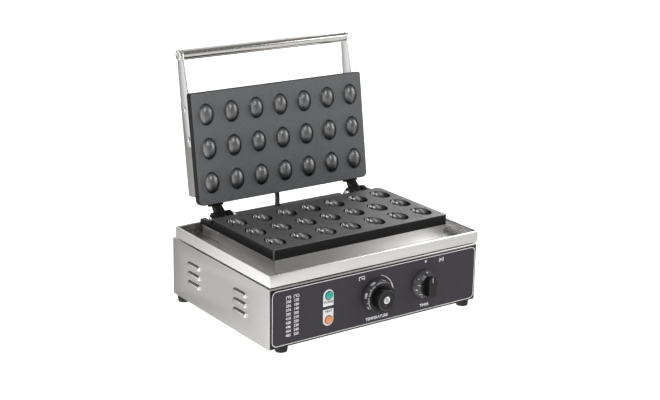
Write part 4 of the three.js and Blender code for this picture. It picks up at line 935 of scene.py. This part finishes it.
def makeTimerDial():
    v = timerValues
    back = panelPoint(*panelValues["timer"], dialValues["gap"])
    bore, hollow, hollowDepth = (dialValues[k] for k in ("bore", "hollow", "hollowDepth"))
    skirt, depth = v["skirtFront"], v["skirtDepth"]
    bm = bmesh.new()
    addTurned(bm, [(hollow, 0), (v["skirtBack"] - 0.3, 0), (v["skirtBack"], 0.4),
                   (skirt + 0.1, depth - 0.5), (skirt - 0.5, depth), (bore, depth),
                   (bore, hollowDepth), (hollow, hollowDepth), (hollow, 0)],
              back, "-Y", dialValues["steps"])
    # the finger bar: a block with grooved sides, cut to a round
    half, length, front = v["barWidth"] / 2, v["barLength"] / 2, depth + v["barHeight"]
    bar = bmesh.new()
    addBlock(bar, (-half, -length - 3, depth - 1), (half, length + 3, front))
    disc = bmesh.new()
    addTurned(disc, [(0, depth - 3), (length, depth - 3), (length - 0.4, front + 3),
                     (0, front + 3)], (0, 0, 0), "Z", dialValues["steps"])
    bar = carveWith(bar, disc, "INTERSECT")
    grooves = bmesh.new()
    for side in (-1, 1):
        for i in range(v["grooves"]):
            place = (side * (half + v["grooveOut"]),
                     (i - (v["grooves"] - 1) / 2) * v["groovePitch"], 0)
            addTurned(grooves, [(0, depth + 0.6), (v["grooveRadius"], depth + 0.6),
                                (v["grooveRadius"], front + 2), (0, front + 2)], place, "Z", 16)
    bar = carveWith(bar, grooves)
    bmesh.ops.transform(bar, verts=bar.verts[:], matrix=upright(back))
    pour(bar, bm)
    # painted highlight: the skirt's side takes a lighter grey
    makePiece("timer_dial_knob", bm, knobPlastic, "timer_dial", ("timer_knob",), sharp=30,
              bevel=0.35, paint=((dialPaintedHighlight, lambda normal, place: offAxis(place, back, "Y") > skirt
                                  and back[1] - place.y < depth - 0.2),))
    ink = bmesh.new()
    addSkirtPrint(ink, v, back)
    # a thin pointer line along the bar's front
    half, (low, high) = v["pointerHalf"], v["pointer"]
    ink.faces.new([ink.verts.new((back[0] + x, back[1] - front - 0.05, back[2] + z))
                   for x, z in ((-half, low), (half, low), (half, high), (-half, high))])
    facingAway(ink, back)
    makePiece("timer_dial_print", ink, panelInk, "timer_dial")


# ---- drip tray, heater housing and rear support

trayValues = {
    "left": -198.1, "right": 202.1, "front": 0.4, "rear": 280, "bottom": 110.2, "top": 128.9,
    "sheet": 1.2, "hem": 2.4, "hemHeight": 3, "foldRadius": 0.9, "footRadius": 7,
    "feet": ((-111.5, 111.25), (125.5, 111.25), (-64.1, 246), (78.1, 246)),
}
housingValues = {
    "left": -156, "right": 170, "front": 48.5, "rear": 217, "bottom": 111.4, "top": 131.5,
    "sheet": 1.2, "foldRadius": 1.1, "notchLength": 7, "notchHeight": 3, "notchRise": 7,
    "supportFront": 218, "supportRear": 265.5, "windowHalf": 8, "edge": 0.15,
}


def makeTray():
    v = trayValues
    bm = bmesh.new()
    addBlock(bm, (v["left"], v["front"], v["bottom"]), (v["right"], v["rear"], v["top"]))
    top = [f for f in bm.faces if f.normal.z > 0.9]
    bmesh.ops.delete(bm, geom=top, context="FACES_ONLY")
    # the hem: the wall's top edge is folded in and down
    middle = Vector(((v["left"] + v["right"]) / 2, (v["front"] + v["rear"]) / 2, 0))
    rim = [e for e in bm.edges if e.is_boundary]
    for inward, down in ((v["hem"], 0), (0, v["hemHeight"])):
        made = bmesh.ops.extrude_edge_only(bm, edges=rim)["geom"]
        for vert in (p for p in made if isinstance(p, bmesh.types.BMVert)):
            vert.co.x += math.copysign(inward, middle.x - vert.co.x)
            vert.co.y += math.copysign(inward, middle.y - vert.co.y)
            vert.co.z -= down
        rim = [e for e in made if isinstance(e, bmesh.types.BMEdge)]
    roundEdges(bm, [e for e in bm.edges if not e.is_boundary], v["foldRadius"])
    bmesh.ops.recalc_face_normals(bm, faces=bm.faces[:])
    front = next(f for f in bm.faces if abs(f.normal.y) > 0.99 and f.calc_center_median().y < 1)
    if front.normal.y > 0:
        bmesh.ops.reverse_faces(bm, faces=bm.faces[:])
    bmesh.ops.solidify(bm, geom=bm.faces[:], thickness=v["sheet"])
    low, high, r = bodyValues["top"] + 0.1, v["bottom"] + 0.3, v["footRadius"]
    for x, y in v["feet"]:
        addTurned(bm, [(0, low), (r, low), (r + 0.8, high), (0, high)], (x, y, 0), "Z", 32)
    # the left channel's floor is cut off from the rest, so that it can take a darker steel as
    # painted shade
    left = housingValues["left"]
    bmesh.ops.bisect_plane(bm, geom=bm.verts[:] + bm.edges[:] + bm.faces[:],
                           plane_co=(left, 0, 0), plane_no=(1, 0, 0))
    floor = v["bottom"] + v["sheet"]

    # painted shade: the trough's floor and inner walls take a darker steel than the tray's outside
    def inTrough(normal, place):
        return (floor - 0.3 < place.z < v["top"] - 1
                and (normal.z > 0.5 or normal.dot(middle - place) > 0))

    def inLeftChannel(normal, place):
        return normal.z > 0.5 and place.z < floor + 0.3 and place.x < left

    makePiece("tray", bm, traySteel, "base", ("drip_tray",), sharp=40,
              paint=((troughPaintedShade, inTrough), (leftChannelPaintedShade, inLeftChannel)))


def makeHousing():
    v = housingValues
    left, right, bottom, top, sheet = (v[k] for k in ("left", "right", "bottom", "top", "sheet"))
    outer = bmesh.new()
    addBlock(outer, (left, v["front"], bottom), (right, v["rear"], top), v["foldRadius"],
             pick=isUpright)
    inner = bmesh.new()
    addBlock(inner, (left + sheet, v["front"] + sheet, bottom + sheet),
             (right - sheet, v["rear"] - sheet, top + 5))
    notch = bottom + v["notchRise"]
    for x in (left, right):
        addBlock(inner, (x - 3, v["rear"] - v["notchLength"], notch),
                 (x + 3, v["rear"] + 3, notch + v["notchHeight"]))
    # the front-left corner fold is painted bright zinc as a painted highlight
    makePiece("heater_box", carveWith(outer, inner), housingSteel, "base", ("heater_housing",),
              bevel=v["edge"], paint=((zincAndPaintedHighlight, lambda normal, place: normal.x < -0.25
                                       and normal.y < -0.25),))

    outer = bmesh.new()
    addBlock(outer, (left, v["supportFront"], bottom), (right, v["supportRear"], top),
             v["foldRadius"])
    inner = bmesh.new()
    addBlock(inner, (left + sheet, v["supportFront"] + sheet, bottom - 5),
             (right - sheet, v["supportRear"] - sheet, top - sheet))
    half, hingeY = v["windowHalf"], layout["hingeY"]
    for side in (-1, 1):
        x = centreX + side * hingeValues["spread"]
        addBlock(inner, (x - half, hingeY - 10, top - 4), (x + half, hingeY + 10, top + 4))
    makePiece("ledge_support", carveWith(outer, inner), housingSteel, "base", ("rear_support",),
              bevel=v["edge"])


# ---- plates

plateValues = {
    "halfWidth": 168, "front": 47.5, "rear": 230.5, "frontCorner": 3.5, "rearCorner": 9,
    "lowerBottom": 131.5, "lowerTop": 148.5, "upperFace": 149.0, "upperBack": 161.5,
    "edge": 1.4, "ledgeRear": 265.5, "ledgeTop": 139.5, "ledgeLap": 9, "stripInset": 4,
    "cavity": (30, 42, 13.5), "seamRise": 1.6, "seamHalf": 4.2, "unevenScale": 0.21,
    "uneven": 0.006, "dome": (26.4, 34.8, 10.5), "domeFillet": 1.3,
    "rib": ((145.7, 65.5), (158.7, 139.5)), "ribHeight": 25,
}
hingeValues = {
    "spread": 135, "tongueHalf": 7, "tongueRadius": 9, "earGap": 1, "earWidth": 9, "earRadius": 11,
    "ledgeReach": 10, "rootHalf": 13, "boltRadius": 4, "boreRadius": 4.3, "headRadius": 6.5,
    "headLength": 5, "nutFlats": 13, "nutLength": 6.5, "boltEnd": 3, "edge": 0.8,
}


def addPlateSlab(bm, bottom, top):
    v = plateValues
    left, right = centreX - v["halfWidth"], centreX + v["halfWidth"]
    addBlock(bm, (left, v["front"], bottom), (right, v["rear"], top))
    for corner, y in ((v["frontCorner"], v["front"]), (v["rearCorner"], v["rear"])):
        roundEdges(bm, [e for e in bm.edges if isUpright(direction(e))
                        and abs(e.verts[0].co.y - y) < 0.01], corner, 8)
    flat = [e for e in bm.edges if abs(direction(e).z) < 1e-4 and len(e.link_faces) == 2
            and abs(e.link_faces[0].normal.dot(e.link_faces[1].normal)) < 0.5]
    roundEdges(bm, flat, v["edge"], 3)


def addCavityTool(bm, x, y):
    # an egg-shaped tool; its underside is drawn in along the middle, which leaves the seam of
    # a walnut shell standing in the mould
    v = plateValues
    width, length, depth = v["cavity"]
    ball = bmesh.ops.create_uvsphere(bm, u_segments=44, v_segments=60, radius=1)["verts"]
    bmesh.ops.rotate(bm, verts=ball, cent=(0, 0, 0), matrix=Matrix.Rotation(math.pi / 2, 3, "Y"))
    bmesh.ops.scale(bm, vec=(width / 2, length / 2, depth), verts=ball)
    for vert in (p for p in ball if p.co.z < 0):
        away = abs(vert.co.x) / v["seamHalf"]
        if away < 1:
            rise = v["seamRise"] * (math.cos(away * math.pi) + 1) / 2
            vert.co.z = min(-0.01, vert.co.z + rise * min(1, -vert.co.z / 3))
        place = Vector((vert.co.x + x, vert.co.y + y, vert.co.z))
        vert.co.z *= 1 + noise.noise(place * v["unevenScale"]) * v["uneven"]
    bmesh.ops.translate(bm, vec=(x, y, v["lowerTop"]), verts=ball)


def hingeX(side):
    return centreX + side * hingeValues["spread"]


def makeLowerPlate():
    v, h = plateValues, hingeValues
    bottom, top, rear, ledgeTop = (v[k] for k in ("lowerBottom", "lowerTop", "rear", "ledgeTop"))
    bm = bmesh.new()
    addPlateSlab(bm, bottom, top)
    tools = bmesh.new()
    for x, y in moulds():
        addCavityTool(tools, x, y)
    plate = carveWith(bm, tools)
    # the hinge ledge behind the plate, in three stretches between the ears
    half, gap = h["tongueHalf"] + h["earGap"], h["earGap"]
    outward = half + h["earWidth"] + h["headLength"] + gap
    inward = half + h["earWidth"] + h["nutLength"] + h["boltEnd"] + gap
    left, right = centreX - v["halfWidth"], centreX + v["halfWidth"]
    start = rear - v["ledgeLap"]
    for x0, x1 in ((left, hingeX(-1) - outward), (hingeX(-1) + inward, hingeX(1) - inward),
                   (hingeX(1) + outward, right)):
        addBlock(plate, (x0, start, bottom), (x1, v["ledgeRear"], ledgeTop), 0.8, 2)
    addBlock(plate, (left + v["stripInset"], start, bottom),
             (right - v["stripInset"], rear + 3, ledgeTop), 0.6, 2)
    hy, hz = layout["hingeY"], layout["hingeZ"]
    ear = [(rear - 2, bottom), (hy + h["ledgeReach"], bottom),
           *arc(hy, hz, h["earRadius"], 0, 140, 20), (rear - 2, hz + 2)]
    for side in (-1, 1):
        for near in (-1, 1):
            ends = (hingeX(side) + near * half, hingeX(side) + near * (half + h["earWidth"]))
            addSideProfile(plate, ear, min(ends), max(ends), 0.7)

    def inCavity(normal, place):
        return (bottom + 1 < place.z < top - 0.05 and v["front"] + 4 < place.y < rear - 4
                and abs(place.x - centreX) < v["halfWidth"] - 4)

    # the front corners' slanted faces take a lighter coat, partly wear and partly a painted
    # highlight
    def onCorner(normal, place):
        return abs(normal.x) > 0.45 and normal.y < -0.45 and place.y < v["front"] + 2

    # painted shade: the sides, underside and ledge keep a darker coat than the top
    makePiece("mould_plate", plate, plateEdge, "base", ("lower_plate",), sharp=38, bevel=0.45,
              paint=((lowerFace, lambda normal, place: normal.z > 0.3 and place.z > top - 1.4),
                     (cavityCoating, inCavity),
                     (hingeIron, lambda normal, place: place.y > rear + 1),
                     (wearAndHighlightEdge, onCorner)))


def makeUpperPlate():
    v, h = plateValues, hingeValues
    face, back, rear = v["upperFace"], v["upperBack"], v["rear"]
    bm = bmesh.new()
    addPlateSlab(bm, face, back)
    width, length, height = v["dome"]
    half, fillet = width / 2, v["domeFillet"]
    profile = [(0, height)]
    profile += [(half * math.sin(a), height * math.cos(a))
                for a in (math.radians(t) for t in range(6, 85, 6))]
    profile += [(half + fillet * 0.18, fillet * 0.45), (half + fillet * 0.5, fillet * 0.12),
                (half + fillet, 0.01), (half + fillet, -0.6), (0, -0.6)]
    for x, y in moulds():
        dome = addTurned(bm, profile, (0, 0, 0), "-Z", 40)
        bmesh.ops.scale(bm, vec=(1, length / width, 1), verts=dome)
        bmesh.ops.translate(bm, vec=(x, y, face), verts=dome)
    hy, hz, r = layout["hingeY"], layout["hingeZ"], h["tongueRadius"]
    root = rear - 3
    lower = tangentAngle((root, face + 4), (hy, hz), r, 1)
    upper = tangentAngle((root, back), (hy, hz), r, -1) + 360
    tongue = [(root, back - 0.2), (root, face + 4), *arc(hy, hz, r, lower, upper, 32)]
    # a wide shoulder where the tongue leaves the plate, clear of the ears as it turns
    shoulder = [(root, face + 1.5), (rear + 3.5, face + 2.5), (rear + 4.5, back - 3),
                (root, back - 1)]
    for side in (-1, 1):
        x = hingeX(side)
        addSideProfile(bm, tongue, x - h["tongueHalf"], x + h["tongueHalf"], h["edge"])
        addSideProfile(bm, shoulder, x - h["rootHalf"], x + h["rootHalf"], h["edge"])
    # ribs on the back take the arm screws
    (inner, front), (outer, end) = v["rib"]
    for side in (-1, 1):
        ends = (centreX + side * inner, centreX + side * outer)
        addBlock(bm, (min(ends), front, back - 2), (max(ends), end, back + v["ribHeight"]), 1, 2)
    # painted shade: the sides, back and ribs keep a darker coat than the face
    makePiece("dome_plate", bm, plateEdge, "lid", ("upper_plate",), lid=True, sharp=38, paint=(
        (plateFace, lambda normal, place: normal.z < -0.7 and abs(place.z - face) < 0.4),
        (domeCoating, lambda normal, place: place.z < face - 0.7 and place.y < rear - 4),
        (hingeIron, lambda normal, place: place.y > rear + 0.5)))


def addHexNut(bm, flats, length, axis, place, softness=0):
    radius = flats / math.sqrt(3)
    bmesh.ops.create_cone(bm, cap_ends=True, segments=6, radius1=radius, radius2=radius,
                          depth=length)
    if softness:
        roundEdges(bm, bm.edges[:], softness, 2)
    bmesh.ops.rotate(bm, verts=bm.verts[:], cent=(0, 0, 0),
                     matrix=Matrix.Rotation(math.pi / 2, 3, axis))
    bmesh.ops.translate(bm, verts=bm.verts[:], vec=place)


def makeHingeBolts():
    h = hingeValues
    half = h["tongueHalf"] + h["earGap"] + h["earWidth"]
    r, head, length = h["headRadius"], h["headLength"], h["nutLength"]
    thin, bore, shank = h["boltRadius"], h["boreRadius"], half * 2 + length + h["boltEnd"]
    line = (layout["hingeY"], layout["hingeZ"])
    for name, side in (("left", -1), ("right", 1)):
        x = hingeX(side)
        bm = bmesh.new()
        addTurned(bm, [(0, -shank), (thin - 0.8, -shank), (thin, -shank + 0.8), (thin, 0), (r, 0),
                       (r, 1.2), (r - 0.5, 2.8), (r - 1.8, head - 0.7), (r - 3.2, head), (0, head)],
                  (x + side * half, *line), outwardAxis(side), 40)
        makePiece(f"hinge_pin_{name}", bm, blackSteel, "base", (f"hinge_bolt_{name}",), paint=(
            (zincAndPaintedHighlight, lambda normal, place: offAxis(place, (0, *line), "X") < thin),))
        bm = bmesh.new()
        addHexNut(bm, h["nutFlats"], length, "Y", (x - side * (half + length / 2), *line))
        hole = bmesh.new()
        addTurned(hole, [(0, -20), (bore, -20), (bore, 20), (0, 20)], (x - side * half, *line),
                  "X", 32)
        makePiece(f"hinge_pin_nut_{name}", carveWith(bm, hole), zincAndPaintedHighlight, "base",
                  (f"hinge_nut_{name}",), bevel=0.5)


# ---- lid cover, arms and handle

lidValues = {
    "coverHalf": 160, "coverFront": 58.1, "coverRear": 220.1,
    "coverBottom": 161.8, "coverTop": 197.8, "coverSheet": 1.0,
    "coverCorner": 3.5, "coverEdge": 1.6, "coverInnerCorner": 2.5,
    "armInner": 160.3, "armThickness": 3, "headRadius": 8.5, "handleY": -13, "handleZ": 181,
    "waistLower": (52.5, 165.3), "waistUpper": (52.5, 190.8),
    "endLower": (135.5, 168.1), "endUpper": (135.5, 180.4),
    "screws": {"front": (74.6, 179), "rear": (123.4, 175.2)},
    "barRadius": 8.5, "barHalf": 160, "barBore": 3.3, "boreDepth": 16, "capThickness": 3,
}


def makeCover():
    v = lidValues
    sheet, front, rear, top = (v[k] for k in ("coverSheet", "coverFront", "coverRear", "coverTop"))
    left, right = centreX - v["coverHalf"], centreX + v["coverHalf"]
    outer = bmesh.new()
    addBlock(outer, (left, front, v["coverBottom"]), (right, rear, top), v["coverCorner"], 5,
             isUpright)
    rim = [e for e in outer.edges if all(abs(p.co.z - top) < 0.01 for p in e.verts)]
    roundEdges(outer, rim, v["coverEdge"], 3)
    inner = bmesh.new()
    addBlock(inner, (left + sheet, front + sheet, v["coverBottom"] - 5),
             (right - sheet, rear - sheet, top - sheet), v["coverInnerCorner"], 4, isUpright)
    makePiece("cover", carveWith(outer, inner), coverSteel, "lid", ("lid_cover",), lid=True)


def makeArmsAndHandle():
    v = lidValues
    handle, r, cap = (v["handleY"], v["handleZ"]), v["barRadius"], v["capThickness"]
    upper = tangentAngle(v["waistUpper"], handle, v["headRadius"], 1)
    lower = tangentAngle(v["waistLower"], handle, v["headRadius"], -1) + 360
    outline = [*arc(*handle, v["headRadius"], upper, lower, 28), v["waistLower"], v["endLower"],
               v["endUpper"], v["waistUpper"]]
    for name, side in (("left", -1), ("right", 1)):
        inner = centreX + side * v["armInner"]
        outer = inner + side * v["armThickness"]
        bm = bmesh.new()
        addSideProfile(bm, outline, min(inner, outer), max(inner, outer), 0.35)
        makePiece(f"lid_arm_{name}", bm, armSteel, "lid", (f"arm_{name}",), lid=True)
        for end, spot in v["screws"].items():
            place = (outer, *spot)
            bm = bmesh.new()
            addTurned(bm, [(0, -16), (2.5, -16), (2.5, 0.3), (4.2, 0.3), (4.2, 1.1), (3.6, 1.9),
                           (2.4, 2.4), (1.1, 2.45), (1.1, 1.3), (0, 1.3)],
                      place, outwardAxis(side), 32)
            makePiece(f"arm_bolt_{name}_{end}", bm, platedSteel, "lid",
                      (f"arm_screw_{name}_{end}",), lid=True, paint=(
                          (blackSteel, lambda normal, at: offAxis(at, place, "X") < 1.6
                           and abs(at.x - outer) < 3),))
        bm = bmesh.new()
        addTurned(bm, [(0, -18), (3, -18), (3, 0.3), (r, 0.3), (r, cap - 0.8), (r - 0.3, cap - 0.2),
                       (r - 1, cap + 0.2), (5.2, cap + 0.3), (4.6, cap - 0.5), (0, cap - 0.5)],
                  (outer, *handle), outwardAxis(side), 48)
        makePiece(f"handle_cap_{name}", bm, polishedBar, "lid", (f"handle_screw_{name}",), lid=True)
    bm = bmesh.new()
    reach, bore, deep = v["barHalf"], v["barBore"], v["barHalf"] - v["boreDepth"]
    addTurned(bm, [(bore, -reach), (r - 0.4, -reach), (r, -reach + 0.4), (r, reach - 0.4),
                   (r - 0.4, reach), (bore, reach), (bore, deep), (0, deep - 0.2),
                   (0, 0.2 - deep), (bore, -deep), (bore, -reach)], (centreX, *handle), "X", 64)
    makePiece("grip_bar", bm, polishedBar, "lid", ("handle_bar",), lid=True)


# ---- lead to the lid, its glands and the mains inlet

leadValues = {
    "radius": 4, "height": 88, "start": 301.3, "reach": 48.2, "nutFlats": 16, "nutLength": 5,
    "collarRadius": 6.2, "collarLength": 9, "shankRadius": 5.5, "shankLength": 9,
    "lidWallY": 220.4, "lidZ": 179.8,
    "shares": ((0.261, -0.016), (0.502, -0.077), (0.724, -0.119), (0.927, -0.048), (1.014, 0.097),
               (0.943, 0.235), (0.741, 0.31), (0.463, 0.326), (0.209, 0.361), (0.031, 0.455),
               (-0.041, 0.629)),
    "sides": 20, "steps": 110, "curveSteps": 24,
}


def addGland(bm, wall, z):
    v = leadValues
    length, shank = v["nutLength"], v["shankLength"]
    addHexNut(bm, v["nutFlats"], length, "X", (centreX, wall + length / 2, z), 0.4)
    r, bore, end = v["collarRadius"], v["radius"] - 0.3, length + v["collarLength"]
    addTurned(bm, [(bore, -shank), (v["shankRadius"], -shank), (v["shankRadius"], 0.2),
                   (r - 0.3, length), (r, length + 0.6), (r, end - 1.6), (r - 0.8, end - 0.4),
                   (r - 1.3, end), (bore, end), (bore, -shank)], (centreX, wall, z), "Y", 40)


def catmullRom(points, count):
    # an even walk along the smooth curve that the lead's solid follows
    curve, steps = [], leadValues["curveSteps"]
    padded = [2 * points[0] - points[1], *points, 2 * points[-1] - points[-2]]
    for p0, p1, p2, p3 in zip(padded, padded[1:], padded[2:], padded[3:]):
        d0, d1, d2 = ((b - a).length ** 0.5 for a, b in ((p0, p1), (p1, p2), (p2, p3)))
        t1 = ((p1 - p0) / d0 - (p2 - p0) / (d0 + d1) + (p2 - p1) / d1) * d1
        t2 = ((p2 - p1) / d1 - (p3 - p1) / (d1 + d2) + (p3 - p2) / d2) * d1
        for t in (i / steps for i in range(steps)):
            curve.append(p1 + t1 * t + (3 * (p2 - p1) - 2 * t1 - t2) * t ** 2
                         + (2 * (p1 - p2) + t1 + t2) * t ** 3)
    curve.append(points[-1])
    lengths = [0.0]
    for a, b in zip(curve, curve[1:]):
        lengths.append(lengths[-1] + (b - a).length)
    walk = []
    place = 0
    for i in range(count + 1):
        want = lengths[-1] * i / count
        while place < len(curve) - 2 and lengths[place + 1] < want:
            place += 1
        span = lengths[place + 1] - lengths[place]
        share = (want - lengths[place]) / span if span else 0
        walk.append(curve[place].lerp(curve[place + 1], share))
    return walk, lengths[-1]


def makeLead():
    v = leadValues
    for name, wall, z, isLid in (("base", bodyValues["depth"], v["height"], False),
                                 ("lid", v["lidWallY"], v["lidZ"], True)):
        bm = bmesh.new()
        addGland(bm, wall, z)
        makePiece(f"gland_{name}", bm, platedSteel, name, (f"lead_gland_{name}",), lid=isLid)

    outlet = v["lidWallY"] + v["nutLength"] + v["collarLength"] + 0.3
    end, before = (openLid @ Vector((centreX, y, v["lidZ"]))
                   for y in (outlet, outlet + v["collarLength"]))
    start, height = v["start"], v["height"]
    route = [Vector((centreX, start, height))]
    route += [Vector((centreX, start + up * (before.y - start) + out * v["reach"],
                      height + up * (end.z - height))) for out, up in v["shares"]]
    walk, length = catmullRom(route + [before, end], v["steps"])
    bm = bmesh.new()
    layer = bm.loops.layers.uv.new("along")
    sideways, sides = Vector((1, 0, 0)), v["sides"]
    rings = []
    for i, point in enumerate(walk):
        ahead = (walk[min(i + 1, len(walk) - 1)] - walk[max(i - 1, 0)]).normalized()
        across = ahead.cross(sideways).normalized()
        turns = (math.tau * k / sides for k in range(sides))
        rings.append([bm.verts.new(point + (sideways * math.cos(a) + across * math.sin(a))
                                   * v["radius"]) for a in turns])
    around = math.tau * v["radius"]
    for i, (first, second) in enumerate(zip(rings, rings[1:])):
        for k in range(sides):
            after = (k + 1) % sides
            face = bm.faces.new((first[k], first[after], second[after], second[k]))
            corners = ((i, k), (i, k + 1), (i + 1, k + 1), (i + 1, k))
            for loop, (along, turn) in zip(face.loops, corners):
                loop[layer].uv = (along / v["steps"] * length / around, turn / sides)
    for ring in (rings[0], rings[-1]):
        bm.faces.new(ring)
    bmesh.ops.recalc_face_normals(bm, faces=bm.faces[:])
    piece = makePiece("lid_lead_sleeve", bm, wovenSleeve, None, ("lid_lead",))
    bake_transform(piece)


inletValues = {"x": 130, "z": 54, "radius": 9, "flange": 12, "flangeLength": 3, "bore": 4,
               "depth": 9}


def makeInlet():
    v = inletValues
    bm = bmesh.new()
    flange, r = v["flange"], v["radius"]
    addTurned(bm, [(v["bore"], -v["depth"]), (r, -v["depth"]), (r, 0), (flange, 0), (flange, 1.8),
                   (flange - 1.2, v["flangeLength"]), (r - 0.4, v["flangeLength"]), (r - 0.8, 5.4),
                   (r - 1.6, 6), (v["bore"] + 0.8, 6), (v["bore"], 5.2), (v["bore"], -v["depth"])],
              (v["x"], bodyValues["depth"], v["z"]), "Y", 48)
    makePiece("mains_inlet", bm, knobPlastic, "base", ("cable_gland",))


makeCamera()
makeStudio()
makeBody()
makeFeet()
print("body and feet done")
makePanel()
makeLamps()
makeTemperatureDial()
makeTimerDial()
print("control panel done")
makeTray()
makeHousing()
makeLowerPlate()
print("tray, housing and lower plate done")
makeUpperPlate()
makeHingeBolts()
makeCover()
makeArmsAndHandle()
print("lid done")
makeLead()
makeInlet()

carryOver(platedSteel, "bottom_plate", "heater_clamp", "thermostat_nut", "timer_nut",
          *(f"{kind}_{end}_{side}" for kind in ("foot_screw", "tie_bolt")
            for end in ("front", "rear") for side in ("left", "right")))
carryOver(elementSteel, "lower_heater", "upper_heater")
carryOver(ceramicBody, "thermostat_body", "timer_body", "terminal_block")
carryOver(polishedBar, "temperature_shaft", "timer_shaft", "thermostat_sensor")
carryOver(mineralWool, "lower_insulation", "lid_insulation")
print("inner parts finished")

bpy.context.scene.view_settings.view_transform = "Standard"
